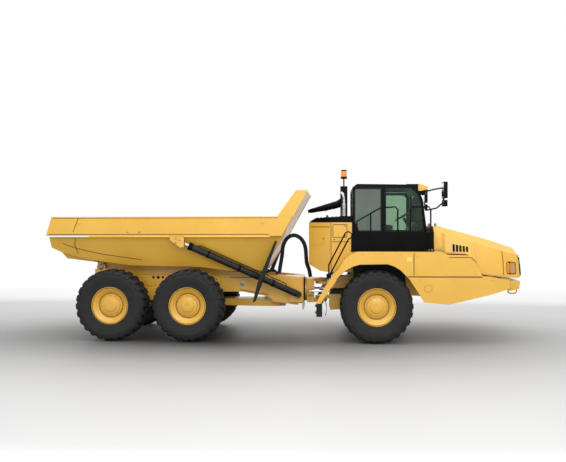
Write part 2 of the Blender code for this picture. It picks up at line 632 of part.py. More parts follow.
HOOD_STATIONS = [
    # x, low edge, its half width, shoulder, its half width, top, its half width
    (HOOD_REAR, 1.99, 0.80, 2.40, 0.78, 2.516, 0.62),
    (1.45, 1.99, 0.84, 2.38, 0.80, 2.505, 0.62),
    (1.52, 1.915, 0.90, 2.35, 0.84, 2.48, 0.62),
    (1.94, 1.905, 1.02, 2.22, 0.92, 2.365, 0.64),
    (2.05, 1.83, 1.05, 2.18, 0.93, 2.335, 0.64),
    (2.12, 1.72, 1.05, 2.16, 0.93, 2.315, 0.64),
    (2.23, 1.47, 1.05, 2.12, 0.93, 2.285, 0.64),
    (2.70, 1.42, 1.02, 1.98, 0.91, 2.14, 0.63),
    (3.02, 1.39, 0.96, 1.90, 0.86, 2.03, 0.60),
    (3.11, 1.41, 0.90, 1.84, 0.80, 1.93, 0.56),
    (3.14, 1.46, 0.86, 1.72, 0.78, 1.80, 0.54),
]


def hood():
    """The tilting hood, a shell open below and behind."""
    shell = loft([hood_ring(*station) for station in HOOD_STATIONS])
    inner = [hood_ring(*station, wall=PLATE) for station in HOOD_STATIONS[:-1]]
    inner = [[(x - 0.2, y, z) for x, y, z in inner[0]]] + inner[1:]
    return dress(carve(shell, loft(inner)), "hood", "yellow_paint")


# ---------------------------------------------------------------- cab
CAB_SIDE = [(CAB_REAR, CAB_FLOOR), (1.13, CAB_FLOOR), (1.13, SILL_HEIGHT), (1.04, 3.09), (0.97, 3.26),
            (0.86, 3.39),
            (0.74, CAB_ROOF - 0.02), (-0.40, CAB_ROOF), (CAB_REAR, CAB_ROOF - 0.08)]
WALL = 0.05
DOOR_REAR, DOOR_FRONT = 0.22, 0.93
DOOR_LOW, DOOR_TOP = CAB_FLOOR + 0.05, 3.33
REAR_WINDOW = [(-0.44, 2.62), (-0.36, 2.42), (0.12, 2.42), (0.12, 3.34), (-0.44, 3.34)]
FRONT_WINDOW = [(0.24, 2.42), (1.06, 2.42), (0.98, 3.07), (0.90, 3.24), (0.76, 3.34), (0.24, 3.34)]
DOOR_WINDOW = [(0.30, 2.42), (0.86, 2.42), (0.86, 3.20), (0.80, 3.26), (0.30, 3.26)]


def shrink(outline, by):
    """Moves each point of a convex outline towards its middle by the same share on both axes."""
    middle_x = sum(x for x, _ in outline) / len(outline)
    middle_z = sum(z for _, z in outline) / len(outline)
    return [(x + math.copysign(min(by, abs(middle_x - x)), middle_x - x),
             z + math.copysign(min(by, abs(middle_z - z)), middle_z - z)) for x, z in outline]


def cab_shell():
    """The cab's floor, walls, pillars and roof, hollow, with its windows and doorway cut."""
    shell = prism(CAB_SIDE, -CAB_HALF, CAB_HALF)
    inner = prism(shrink(CAB_SIDE, WALL), -CAB_HALF + WALL, CAB_HALF - WALL)
    windscreen = prism([(0.90, 2.42), (1.4, 2.42), (1.4, 3.22), (0.90, 3.22)], -0.74, 0.74)
    rear = box((CAB_REAR - 0.1, CAB_REAR + 0.1), (-0.62, 0.62), (2.75, 3.30))
    doorway = box((DOOR_REAR - 0.006, DOOR_FRONT + 0.006), (CAB_HALF - 0.2, CAB_HALF + 0.1),
                  (DOOR_LOW - 0.006, DOOR_TOP + 0.006))
    right = [prism(outline, -CAB_HALF - 0.1, -CAB_HALF + 0.2) for outline in (REAR_WINDOW, FRONT_WINDOW)]
    left = prism(REAR_WINDOW, CAB_HALF - 0.2, CAB_HALF + 0.1)
    visor = prism([(0.70, 3.38), (0.95, 3.26), (1.02, 3.30), (1.16, 3.34), (1.16, 3.38), (0.98, 3.45),
                   (0.70, 3.45)], -0.70, 0.70)
    bulkhead = box((1.12, 1.27), (-0.76, 0.76), (CAB_FLOOR + 0.01, 2.38))
    shell = join(carve(join(shell, visor), inner), bulkhead)
    return dress(carve(shell, windscreen, rear, doorway, left, *right), "cab_shell", "black_paint")


def pane(outline, y, name):
    """A flat side window set GAP inside its opening."""
    return dress(prism(shrink(outline, 0.002), y - 0.004, y + 0.004), name, "dark_glass")


def cab_glass():
    panes = [pane(REAR_WINDOW, -CAB_HALF + 0.02, "glass_right_rear"),
             pane(FRONT_WINDOW, -CAB_HALF + 0.02, "glass_right_front"),
             pane(REAR_WINDOW, CAB_HALF - 0.02, "glass_left_rear")]
    screen = [(1.110, 2.422), (1.118, 2.422), (1.038, 3.07), (0.983, 3.218), (0.972, 3.218), (1.027, 3.07)]
    panes.append(dress(prism(screen, -0.738, 0.738), "windscreen", "dark_glass"))
    panes.append(dress(box((CAB_REAR + 0.016, CAB_REAR + 0.024), (-0.618, 0.618), (2.752, 3.298)),
                       "glass_rear", "dark_glass"))
    return panes


def cab_door():
    """The left door, with its window cut, hung on its rear edge."""
    leaf = box((DOOR_REAR, DOOR_FRONT), (CAB_HALF - WALL, CAB_HALF), (DOOR_LOW, DOOR_TOP))
    window = prism(DOOR_WINDOW, CAB_HALF - 0.2, CAB_HALF + 0.1)
    leaf = carve(leaf, window)
    handle = tube([(0.84, CAB_HALF - 0.01, 2.30), (0.84, CAB_HALF + 0.05, 2.30),
                   (0.72, CAB_HALF + 0.05, 2.30),
                   (0.72, CAB_HALF - 0.01, 2.30)], 0.012, 6)
    hinge = (DOOR_REAR, CAB_HALF + 0.015, 0)
    return [on_joint(dress(join(leaf, handle), "cab_door", "black_paint"), hinge),
            on_joint(pane(DOOR_WINDOW, CAB_HALF - 0.02, "door_glass"), hinge)]


def cab_inside():
    """Seat, console and steering wheel."""
    seat_base = box((-0.02, 0.46), (-0.25, 0.25), (CAB_FLOOR + WALL + GAP, 2.34))
    seat = join(prism([(-0.14, 2.36), (0.46, 2.36), (0.46, 2.50), (0.05, 2.50), (-0.08, 3.12),
                       (-0.20, 3.10)], -0.26, 0.26))
    console = prism([(0.72, CAB_FLOOR + WALL + GAP), (1.03, CAB_FLOOR + WALL + GAP), (1.03, 2.52),
                     (0.92, 2.60), (0.80, 2.46)], -0.45, 0.45)
    column = rod((0.86, 0, 2.45), (0.715, 0, 2.70), 0.035, 10)
    mat = box((-0.35, 1.03), (-0.45, 0.45), (CAB_FLOOR + WALL + GAP, CAB_FLOOR + WALL + 0.02))
    return [dress(seat, "seat", "cab_trim"), dress(join(mat, seat_base, console, column), "console",
                                                   "cab_trim")]


WHEEL_HUB = Vector((0.705, 0.0, 2.718))
WHEEL_AXIS = Vector((-0.502, 0.0, 0.865))


def steering_wheel():
    """A rim on three spokes, square to the column."""
    turn = WHEEL_AXIS.to_track_quat("Z", "Y").to_matrix()
    ring = [WHEEL_HUB + turn @ Vector((0.20 * math.cos(a), 0.20 * math.sin(a), 0.03))
            for a in np.linspace(0, 2 * math.pi, 25)[:-1]]
    rings = []
    for k, point in enumerate(ring):
        out = (point - WHEEL_HUB - turn @ Vector((0, 0, 0.03))).normalized()
        rings.append([point + 0.015 * (math.cos(b) * out + math.sin(b) * (turn @ Vector((0, 0, 1))))
                      for b in np.linspace(0, 2 * math.pi, 7)[:-1]])
    count = 6
    faces = [(k * count + j, k * count + (j + 1) % count, ((k + 1) % 24) * count + (j + 1) % count,
              ((k + 1) % 24) * count + j)
             for k in range(24) for j in range(count)]
    rim = solid([p for r in rings for p in r], faces)
    hub = rod(WHEEL_HUB, WHEEL_HUB + turn @ Vector((0, 0, 0.04)), 0.05, 12)
    ways = [Vector((math.cos(a), math.sin(a), 0)) for a in np.radians((90, 210, 330))]
    spokes = [rod(WHEEL_HUB + turn @ (way * 0.03 + Vector((0, 0, 0.02))),
                  WHEEL_HUB + turn @ (way * 0.20 + Vector((0, 0, 0.03))), 0.012, 6) for way in ways]
    return on_joint(dress(join(rim, hub, *spokes), "steering_wheel", "cab_trim"), WHEEL_HUB)


# ---------------------------------------------------------------- behind the cab
def compartment():
    """The service box behind the cab, narrower at the rear so the trailer can swing past."""
    plan = [(CAB_REAR - 0.01, -0.84), (-0.97, -0.84), (BOX_REAR, -0.60), (BOX_REAR, 0.60), (-0.97, 0.84),
            (CAB_REAR - 0.01, 0.84)]
    case = prism(plan, 1.50, BOX_TOP, "Z")
    under = prism([(-1.6, 1.73), (-1.22, 1.52), (-1.0, 1.49), (-1.0, 1.40), (-1.6, 1.40)], -1.0, 1.0)
    return dress(carve(case, under), "compartment", "yellow_paint")


def compartment_cover():
    """The black louvred lid on the compartment."""
    plan = [(CAB_REAR - 0.012, -0.82), (-0.97, -0.82), (BOX_REAR + 0.02, -0.58), (BOX_REAR + 0.02, 0.58),
            (-0.97, 0.82),
            (CAB_REAR - 0.012, 0.82)]
    lid = prism(plan, BOX_TOP + GAP, 2.75, "Z")
    slope = prism([(-1.6, 2.60), (BOX_REAR + 0.02, 2.62), (-1.32, 2.70), (-0.5, 2.745), (-0.4, 3.0),
                   (-1.6, 3.0)], -1.0, 1.0)
    return carve(lid, slope)


def air_duct():
    """The black lid with the pillar on it, which carries the tapered intake and the beacon."""
    duct = tube([(-1.50, -0.28, 2.855), (-1.42, -0.28, 2.87), (-1.10, -0.34, 2.94), (-0.82, -0.42, 3.01),
                 (-0.68, -0.45, 3.10)],
                [0.035, 0.05, 0.075, 0.085, 0.085], 12)
    pillar = box((-0.76, -0.60), (-0.53, -0.37), (2.70, 3.42))
    lamp = join(rod((-0.68, -0.45, 3.41), (-0.68, -0.45, 3.63), 0.016, 10),
                rod((-0.68, -0.45, 3.61), (-0.68, -0.45, 3.79), 0.065, 16))
    return dress(join(compartment_cover(), duct, pillar, lamp), "air_duct", "black_paint")


def exhaust():
    """A perforated heat shield round the stack, with a curved outlet."""
    shield = rod((-0.68, -0.70, 2.747), (-0.68, -0.70, 3.02), 0.062, 16)
    pipe = tube([(-0.68, -0.70, 3.0), (-0.68, -0.70, 3.15), (-0.70, -0.70, 3.22), (-0.76, -0.70, 3.27)],
                0.04, 12)
    return dress(join(shield, pipe), "exhaust", "bright_steel")


def mirrors():
    """The left arm with its mirror head."""
    upper = tube([(1.04, 0.82, 3.20), (1.10, 0.95, 3.27), (1.22, 1.20, 3.30), (1.38, 1.42, 3.32)], 0.016, 8)
    lower = tube([(1.10, 0.82, 2.86), (1.15, 0.95, 2.87), (1.28, 1.20, 2.90), (1.39, 1.42, 3.02)], 0.016, 8)
    post = rod((1.39, 1.42, 2.95), (1.39, 1.42, 3.45), 0.018, 8)
    head = box((1.37, 1.45), (1.44 - 0.14, 1.44 + 0.14), (3.10, 3.44))
    small = box((1.37, 1.45), (1.44 - 0.12, 1.44 + 0.12), (2.93, 3.06))
    return join(post, upper, lower, head, small)


# ---------------------------------------------------------------- rails, steps and hoses
RAIL_Y = 1.385
RAIL_R = 0.018


def rail(points):
    return tube(points, RAIL_R, 6)


def handrail(side):
    """Walkway rails of one side, standing on a toe board; the left ones leave room for the door."""
    y = side * RAIL_Y
    foot, top = DECK_HEIGHT + 0.01, 2.925
    board = box((-0.56, 1.20), sorted((y - 0.02, y + 0.02)), (DECK_HEIGHT + GAP, DECK_HEIGHT + 0.03))
    back_end, front_start = (0.44, 0.70) if side < 0 else (0.10, 1.02)
    bars = [rail([(-0.42, y, foot), (-0.42, y, 2.62), (0.08 if side < 0 else -0.12, y, top - 0.02),
                  (back_end - 0.05, y, top), (back_end, y, top - 0.06), (back_end, y, foot)]),
            rail([(-0.13, y, foot), (-0.13, y, 2.785)]),
            rail([(front_start, y, foot), (front_start, y, top - 0.06), (front_start + 0.05, y, top),
                  (1.09, y, top),
                  (1.13, y, top - 0.06), (1.13, y, foot)])]
    place = "right" if side < 0 else "left"
    stair = stair_rail() if side > 0 else mirror_only(stair_rail())
    return dress(join(board, stair, *bars), f"handrail_{place}", "black_paint")


def stair_rail():
    """The left grab rail beside the steps."""
    y = RAIL_Y
    outer = rail([(-1.02, y, 1.43), (-1.02, y, 1.69), (-0.66, y, 2.38), (-0.60, y, 2.40),
                  (-0.53, y, 2.36), (-0.53, y, DECK_HEIGHT + 0.012)])
    inner = rail([(-1.005, y, 1.46), (-0.60, y, 2.24), (-0.53, y, 2.28)])
    foot = box((-1.06, -0.985), (y - 0.03, y + 0.03), (1.41, 1.48))
    return join(foot, outer, inner)


def steps():
    """The left ladder behind the front wheel."""
    return box((-1.28, -1.17), (1.12, 1.40), (0.58, 0.90))


HOSE_ROUTE = [(-2.16, -0.42, 1.44), (-2.13, -0.42, 1.62), (-2.09, -0.42, 1.86), (-2.07, -0.42, 2.05),
              (-2.00, -0.41, 2.21),
              (-1.88, -0.40, 2.30), (-1.74, -0.38, 2.29), (-1.62, -0.36, 2.18), (-1.56, -0.33, 2.02),
              (-1.545, -0.29, 1.82),
              (-1.53, -0.25, 1.66), (-1.48, -0.21, 1.51), (-1.45, -0.19, 1.345)]


def spline(points, per_span=4):
    """A smooth curve through the points (Catmull-Rom)."""
    p = [np.array(q) for q in points]
    p = [2 * p[0] - p[1]] + p + [2 * p[-1] - p[-2]]
    curve = []
    for k in range(1, len(p) - 2):
        for t in np.linspace(0, 1, per_span, endpoint=False):
            curve.append(0.5 * (2 * p[k] + (p[k + 1] - p[k - 1]) * t
                         + (2 * p[k - 1] - 5 * p[k] + 4 * p[k + 1] - p[k + 2]) * t ** 2
                         + (3 * p[k] - p[k - 1] - 3 * p[k + 1] + p[k + 2]) * t ** 3))
    return curve + [p[-2]]


def hoses():
    return dress(tube(spline(HOSE_ROUTE, 2), 0.048, 8), "hose_bundle", "black_paint")


# ---------------------------------------------------------------- assembly
def pair(make, name, finish):
    """The left piece that make returns and its mirror image, both finished."""
    left = make()
    right = mirrored(left)
    return [dress(left, f"{name}_left", finish), dress(right, f"{name}_right", finish)]


def ram(name, foot, head, bore, rod_radius, eye, share, inner_end, pin, place):
    """Barrel and rod of one cylinder, each with its origin on its own pin."""
    side = -1 if place == "right" else 1
    foot = Vector((foot.x, side * foot.y, foot.z))
    head = Vector((head.x, side * head.y, head.z))
    barrel, shaft = cylinder(foot, head, bore, rod_radius, eye, share, inner_end, Vector(pin))
    return [on_joint(dress(barrel, f"{name}_barrel_{place}", "black_paint"), foot),
            on_joint(dress(shaft, f"{name}_rod_{place}", "bright_steel"), head)]


def build():
    clear_scene()
    datum = bpy.data.objects.new("front_axle_datum", None)
    datum.location = ((REAR_REACH - FRONT_REACH) / 2, 0, 0)
    bpy.context.scene.collection.objects.link(datum)
    pieces = [front_frame(), engine(), bumper(), rear_frame(), hitch(), cab_shell(),
              steering_wheel(), compartment(), air_duct(), exhaust(), hoses(),
              handrail(-1), handrail(1)]
    pieces.append(on_joint(hood(), (HOOD_HINGE_X, 0, HOOD_HINGE_Z)))
    body_hinge = (HINGE_X, 0, HINGE_Z)
    pieces.append(on_joint(dump_body(), body_hinge))
    pieces += cab_glass() + cab_door() + cab_inside()
    for axle in AXLES:
        pieces.append(axle_beam(axle))
        for side in (-1, 1):
            pieces += wheel(axle, side)
    for make, name, finish in ((fender, "fender", "yellow_paint"),
                               (skirt, "skirt", "yellow_paint"),
                               (walking_beam, "walking_beam", "yellow_paint"),
                               (mud_flap, "mud_flap", "tyre_rubber"), (mirrors, "mirror", "black_paint"),
                               ):
        pieces += pair(make, name, finish)
    for place in ("right", "left"):
        pieces += ram("hoist", HOIST_FOOT, HOIST_HEAD, 0.075, 0.045, 0.07, 0.955, 0.15, (0, 1, 0), place)
        pieces += ram("steer", STEER_FOOT, STEER_HEAD, 0.045, 0.025, 0.04, 0.62, 0.42, (0, 0, 1), place)
    for piece in pieces:
        piece.parent = datum


build()
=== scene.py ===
"""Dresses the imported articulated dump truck: finishes, treaded tyres, lamps, seams, fittings and a plain studio."""
import json
import logging
import math
from collections.abc import Callable
from dataclasses import dataclass, field
from enum import Enum

import bmesh
import bpy
import numpy as np
from mathutils import Euler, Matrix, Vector
from mathutils.bvhtree import BVHTree

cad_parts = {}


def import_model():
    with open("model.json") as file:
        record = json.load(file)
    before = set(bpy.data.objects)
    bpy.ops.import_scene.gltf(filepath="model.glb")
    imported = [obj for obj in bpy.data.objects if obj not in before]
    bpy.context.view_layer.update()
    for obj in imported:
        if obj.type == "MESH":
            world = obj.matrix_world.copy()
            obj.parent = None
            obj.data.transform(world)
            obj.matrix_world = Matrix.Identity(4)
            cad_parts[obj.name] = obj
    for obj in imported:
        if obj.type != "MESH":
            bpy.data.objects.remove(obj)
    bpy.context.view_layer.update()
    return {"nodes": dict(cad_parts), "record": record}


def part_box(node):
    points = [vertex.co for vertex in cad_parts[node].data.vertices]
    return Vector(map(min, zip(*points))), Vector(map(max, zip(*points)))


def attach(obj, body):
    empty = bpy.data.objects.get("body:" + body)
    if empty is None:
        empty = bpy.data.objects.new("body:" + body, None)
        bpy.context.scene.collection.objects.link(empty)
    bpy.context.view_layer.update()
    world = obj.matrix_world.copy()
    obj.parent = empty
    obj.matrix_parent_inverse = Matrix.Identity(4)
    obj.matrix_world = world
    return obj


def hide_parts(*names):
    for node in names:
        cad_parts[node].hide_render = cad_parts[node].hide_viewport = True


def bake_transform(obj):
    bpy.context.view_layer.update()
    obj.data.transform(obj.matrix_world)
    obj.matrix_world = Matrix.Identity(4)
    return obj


LOG = logging.getLogger("dump_truck")
MILLIMETRE = 0.001
# Gloss of every clear coat, as a share of full roughness.
COAT_ROUGHNESS = 0.08
# What a clear pane lets through: a slightly green white.
PANE_TINT = "DDEBDF"
# How far a seated piece goes into the skin, in metres.
SINK = 0.004
# Where rays that look for the skin start, to the side and beyond the ends, and how far in a missed one looks.
BEYOND_SIDE, BEYOND_END, NEAR_SKIN = 4, 9, 2.6


class Side(Enum):
    """The two sides of the truck, by the sign of Y."""

    RIGHT = -1
    LEFT = 1

    @property
    def word(self) -> str:
        """The side's name as nodes end with it."""
        return self.name.lower()


# ---------------------------------------------------------------- finishes
def linear(code: str) -> tuple[float, float, float, float]:
    """Turns an sRGB hex colour into linear light.

    Args:
        code: six hex digits, with or without a leading hash.
    Returns:
        Linear red, green, blue and an alpha of 1.
    """
    code = code.lstrip("#")
    parts = [int(code[k:k + 2], 16) / 255 for k in (0, 2, 4)]
    return tuple(c / 12.92 if c <= 0.04045 else ((c + 0.055) / 1.055) ** 2.4 for c in parts) + (1.0,)


def add_node(tree: bpy.types.NodeTree, kind: str, links: dict | None = None, **settings: object) -> bpy.types.Node:
    """Adds one shader node.

    Args:
        tree: the node tree it goes in.
        kind: the node's type name.
        links: socket name or number to the output socket or plain value that feeds it.
        settings: properties set on the node itself.
    Returns:
        The new node.
    """
    node = tree.nodes.new(kind)
    for key, value in settings.items():
        setattr(node, key, value)
    for key, value in (links or {}).items():
        socket = node.inputs[key]
        if isinstance(value, bpy.types.NodeSocket):
            tree.links.new(value, socket)
        else:
            socket.default_value = value
    return node


def ramp(tree: bpy.types.NodeTree, factor: bpy.types.NodeSocket,
         stops: list[tuple[float, tuple]]) -> bpy.types.NodeSocket:
    """Maps a factor through colour stops.

    Args:
        tree: the node tree.
        factor: the socket that drives the ramp.
        stops: (position, colour) pairs in rising order.
    Returns:
        The ramp's colour socket.
    """
    node = add_node(tree, "ShaderNodeValToRGB", {"Fac": factor})
    elements = node.color_ramp.elements
    elements[0].position, elements[0].color = stops[0]
    elements[1].position, elements[1].color = stops[-1]
    for position, colour in stops[1:-1]:
        elements.new(position).color = colour
    return node.outputs["Color"]


def grey(value: float) -> tuple[float, float, float, float]:
    """A neutral colour of that linear value."""
    return (value, value, value, 1.0)


@dataclass(frozen=True)
class Finish:
    """A surface: what it is made of, how it was made, and how much its colour and gloss wander.

    grain_mm is the real spacing of the fine texture and patch_mm that of the broad one; bump_mm is its relief.
    """

    name: str
    colour: str
    shade: str
    metallic: float
    roughness: float
    spread: float
    grain_mm: float
    patch_mm: float
    bump_mm: float
    coat: float = 0.0
    ior: float = 1.5
    dirt: str = "5A4F41"
    dirt_amount: float = 0.0
    dirt_height: float = 0.0
    specular: float = 0.5

    def material(self) -> bpy.types.Material:
        """Builds the material: two noises on Object coordinates move colour and gloss, and a fine one gives relief.

        Returns:
            The material.
        """
        made = bpy.data.materials.get(self.name)
        if made:
            return made
        made = bpy.data.materials.new(self.name)
        made.use_nodes = True
        tree = made.node_tree
        tree.nodes.clear()
        place = add_node(tree, "ShaderNodeTexCoord").outputs["Object"]
        patch = add_node(tree, "ShaderNodeTexNoise", {"Vector": place, "Scale": 1 / (self.patch_mm * MILLIMETRE),
                                                      "Detail": 5.0, "Roughness": 0.6})
        grain = add_node(tree, "ShaderNodeTexNoise", {"Vector": place, "Scale": 1 / (self.grain_mm * MILLIMETRE),
                                                      "Detail": 3.0, "Roughness": 0.55})
        colour = ramp(tree, patch.outputs["Fac"], [(0.35, linear(self.shade)), (0.62, linear(self.colour))])
        if self.dirt_amount:
            height = add_node(tree, "ShaderNodeSeparateXYZ", {"Vector": place}).outputs["Z"]
            low = add_node(tree, "ShaderNodeMapRange", {"Value": height, "From Min": self.dirt_height, "From Max": 0.1,
                                                        "To Min": 0.0, "To Max": self.dirt_amount})
            dust = add_node(tree, "ShaderNodeMath", {0: low.outputs["Result"], 1: patch.outputs["Fac"]},
                            operation="MULTIPLY")
            colour = self.dusted(tree, dust.outputs[0], colour)
        rough = add_node(tree, "ShaderNodeMapRange", {"Value": patch.outputs["Fac"], "From Min": 0.3, "From Max": 0.7,
                                                      "To Min": max(0.02, self.roughness - self.spread),
                                                      "To Max": self.roughness + self.spread})
        bump = add_node(tree, "ShaderNodeBump", {"Height": grain.outputs["Fac"], "Strength": 0.6,
                                                 "Distance": self.bump_mm * MILLIMETRE})
        shader = add_node(tree, "ShaderNodeBsdfPrincipled", {"Base Color": colour, "Roughness": rough.outputs["Result"],
                                                             "Normal": bump.outputs["Normal"]})
        self.set_sockets(shader)
        add_node(tree, "ShaderNodeOutputMaterial", {"Surface": shader.outputs["BSDF"]})
        return made

    def dusted(self, tree: bpy.types.NodeTree, factor: bpy.types.NodeSocket,
               colour: bpy.types.NodeSocket) -> bpy.types.NodeSocket:
        """Mixes dust over the colour.

        Args:
            tree: the node tree.
            factor: how much dust.
            colour: the clean colour.
        Returns:
            The mixed colour's socket.
        """
        mix = tree.nodes.new("ShaderNodeMix")
        mix.data_type = "RGBA"
        tree.links.new(factor, mix.inputs[0])
        tree.links.new(colour, mix.inputs[6])
        mix.inputs[7].default_value = linear(self.dirt)
        return mix.outputs[2]

    def set_sockets(self, shader: bpy.types.Node) -> None:
        """Sets what is the same all over the surface straight on the shader.

        Args:
            shader: the Principled node.
        """
        shader.inputs["Metallic"].default_value = self.metallic
        shader.inputs["IOR"].default_value = self.ior
        shader.inputs["Specular IOR Level"].default_value = self.specular
        shader.inputs["Coat Weight"].default_value = self.coat
        shader.inputs["Coat Roughness"].default_value = COAT_ROUGHNESS


@dataclass(frozen=True)
class Glazing(Finish):
    """Tinted safety glass: a thin dark film that lets the inside show and mirrors the room."""

    opacity: float = 0.5

    def material(self) -> bpy.types.Material:
        """Mixes a see-through layer with a glossy tinted one, so the thin panes need no refraction.

        Returns:
            The material.
        """
        made = bpy.data.materials.get(self.name)
        if made:
            return made
        made = super().material()
        tree = made.node_tree
        shader = next(n for n in tree.nodes if n.type == "BSDF_PRINCIPLED")
        output = next(n for n in tree.nodes if n.type == "OUTPUT_MATERIAL")
        clear = add_node(tree, "ShaderNodeBsdfTransparent", {"Color": linear(PANE_TINT)})
        mix = add_node(tree, "ShaderNodeMixShader", {0: self.opacity, 1: clear.outputs[0], 2: shader.outputs[0]})
        tree.links.new(mix.outputs[0], output.inputs["Surface"])
        return made


@dataclass(frozen=True)
class Lens(Finish):
    """A moulded acrylic lamp lens with fine flutes and a trace of its own light."""

    glow: float = 0.0

    def set_sockets(self, shader: bpy.types.Node) -> None:
        """Adds a faint emission of the lens's own colour, as lit plastic has.

        Args:
            shader: the Principled node.
        """
        super().set_sockets(shader)
        shader.inputs["Emission Color"].default_value = linear(self.colour)
        shader.inputs["Emission Strength"].default_value = self.glow


# Sprayed machinery enamel over steel: even, glossy, with faint orange peel about 9 mm across and dust low down.
YELLOW = Finish("yellow_enamel", "D5A63C", "D0A036", 0.0, 0.36, 0.06, 9.0, 900.0, 0.12, coat=0.2,
                dirt="8A7A5C", dirt_amount=0.35, dirt_height=0.9)
# The ring inside the rim is the same enamel, painted a darker brown-yellow for the shade in the rim's groove, and
# rougher.
WELL = Finish("dusted_yellow_enamel", "BE9A45", "A98638", 0.0, 0.5, 0.08, 7.0, 120.0, 0.2)
# Black enamel on the cab, rails and lid: deep, with a weak sheen.
BLACK = Finish("black_enamel", "0C0C0D", "08080A", 0.0, 0.36, 0.06, 8.0, 500.0, 0.1, specular=0.06)
# Moulded tyre rubber: matt, with pale dust towards the ground.
RUBBER = Finish("tyre_rubber_moulded", "242425", "1B1B1C", 0.0, 0.74, 0.08, 6.0, 180.0, 0.5,
                dirt="47443E", dirt_amount=0.3, dirt_height=1.2, specular=0.25)
# Cut sheet rubber: matt. The black sheet in the wheel arch uses it as painted shade.
SHEET_RUBBER_AND_ARCH_SHADE = Finish("flap_rubber_sheet", "19191A", "131314", 0.0, 0.64, 0.08, 5.0, 200.0, 0.4, specular=0.25)
# Satin paint on the cylinders: dark and smooth, with a broad highlight.
SATIN = Finish("cylinder_satin_paint", "19191B", "131415", 0.0, 0.4, 0.07, 6.0, 300.0, 0.1, specular=0.3)
# Hard chrome on the rods: a clean mirror.
CHROME = Finish("hard_chromed_rod", "D9DBDC", "CFD2D4", 1.0, 0.1, 0.03, 4.0, 200.0, 0.01)
# Brushed stainless steel: bright, with a soft highlight.
STAINLESS = Finish("brushed_stainless", "C2C3C1", "A9AAA8", 1.0, 0.3, 0.08, 3.0, 120.0, 0.05)
# Zinc plate on the fasteners: grey metal.
ZINC = Finish("zinc_plated_steel", "8F9092", "77787B", 1.0, 0.42, 0.08, 3.0, 60.0, 0.08)
# Painted cast iron: dark and rough.
IRON = Finish("painted_cast_iron", "4A4B4A", "383938", 0.2, 0.6, 0.1, 5.0, 150.0, 0.6)
# Moulded plastic in the cab: near black with a fine grain.
PLASTIC = Finish("moulded_black_plastic", "202123", "191A1B", 0.0, 0.55, 0.06, 2.0, 220.0, 0.15)
# Sealant at the bottom of a joint: a dark line. The same dark line is painted shade along folds and inside corners.
SEAM_AND_FOLD_SHADE = Finish("shadow_gap_sealant", "2A2008", "221A06", 0.0, 0.7, 0.05, 4.0, 100.0, 0.05)
# Gasket rubber: near black and matt. The same black is painted shade inside slots and holes.
GASKET_AND_HOLE_SHADE = Finish("black_gasket_rubber", "0E0F10", "0B0B0C", 0.0, 0.6, 0.08, 3.0, 100.0, 0.1, specular=0.2)
# Woven seat cloth: matt.
CLOTH = Finish("woven_seat_cloth", "33363A", "26282B", 0.0, 0.9, 0.05, 2.2, 60.0, 0.6)
# Moulded amber lamp plastic: saturated and glossy.
AMBER = Lens("amber_acrylic", "F4740C", "E66606", 0.0, 0.14, 0.03, 6.0, 90.0, 0.4, coat=0.3, glow=0.12)
# Moulded red lamp plastic: saturated and glossy.
RED = Lens("red_acrylic", "C21A12", "A8140E", 0.0, 0.14, 0.03, 6.0, 90.0, 0.4, coat=0.5, glow=0.08)
# Clear lamp plastic: pale and glossy.
CLEAR = Lens("clear_polycarbonate", "E9EEF0", "CBD2D6", 0.0, 0.06, 0.02, 14.0, 120.0, 0.8, coat=0.8, glow=0.05)
# The side marker is a pale yellow moulding, little different from the paint round it.
YELLOW_LENS = Lens("pale_yellow_acrylic", "E8C65A", "DDB848", 0.0, 0.14, 0.03, 6.0, 90.0, 0.4, coat=0.3, glow=0.02)
# The headlamp's cover is clear plastic painted a warm yellow-brown, the shade of the recessed bowl behind it.
SHADED_LAMP_COVER = Lens("smoked_polycarbonate", "A9813F", "8A6A35", 0.0, 0.08, 0.02, 14.0, 120.0, 0.6, coat=0.6, glow=0.0)
# Silvered mirror glass: flat and clear.
MIRROR = Finish("silvered_mirror", "E8ECEE", "E2E7EA", 1.0, 0.03, 0.01, 40.0, 400.0, 0.005)
# Tinted safety glass: pale green, and mostly seen through.
GLASS = Glazing("tinted_safety_glass", "5E6E64", "55645B", 0.0, 0.05, 0.02, 60.0, 700.0, 0.01, coat=0.3, opacity=0.11)
# The rear quarter windows carry a darker film.
PRIVACY_GLASS = Glazing("privacy_safety_glass", "58655D", "4F5B54", 0.0, 0.06, 0.02, 60.0, 700.0, 0.01, coat=0.3,
                        opacity=0.86)
# Braided hose cover: matt black.
HOSE = Finish("braided_hose_cover", "161617", "101011", 0.0, 0.6, 0.08, 4.0, 60.0, 0.8, specular=0.3)
# Rolled floor paint: even; the studio floor replaces its colour with a painted shadow that darkens towards the truck.
STUDIO_FLOOR = Finish("painted_studio_floor", "EEEEED", "EBEBEA", 0.0, 0.6, 0.05, 30.0, 2500.0, 0.05)

FINISH_OF_SLOT = {
    "yellow_paint": YELLOW, "black_paint": BLACK, "tyre_rubber": RUBBER, "flap_rubber": SHEET_RUBBER_AND_ARCH_SHADE, "tinted_glass": GLASS,
    "cylinder_paint": SATIN, "chromed_rod": CHROME, "exhaust_steel": STAINLESS, "engine_iron": IRON,
    "cab_plastic": PLASTIC, "seat_fabric": CLOTH, "hose_rubber": HOSE,
}
SLOT_OF_FINISH = {finish.name: slot for slot, finish in FINISH_OF_SLOT.items()}
SLOT_OF_FINISH.update({
    "dusted_yellow_enamel": "yellow_paint", "zinc_plated_steel": "exhaust_steel", "shadow_gap_sealant": "black_paint",
    "black_gasket_rubber": "flap_rubber", "silvered_mirror": "chromed_rod",
    **dict.fromkeys(("amber_acrylic", "red_acrylic", "pale_yellow_acrylic", "smoked_polycarbonate",
                     "clear_polycarbonate", "privacy_safety_glass"), "tinted_glass"),
})


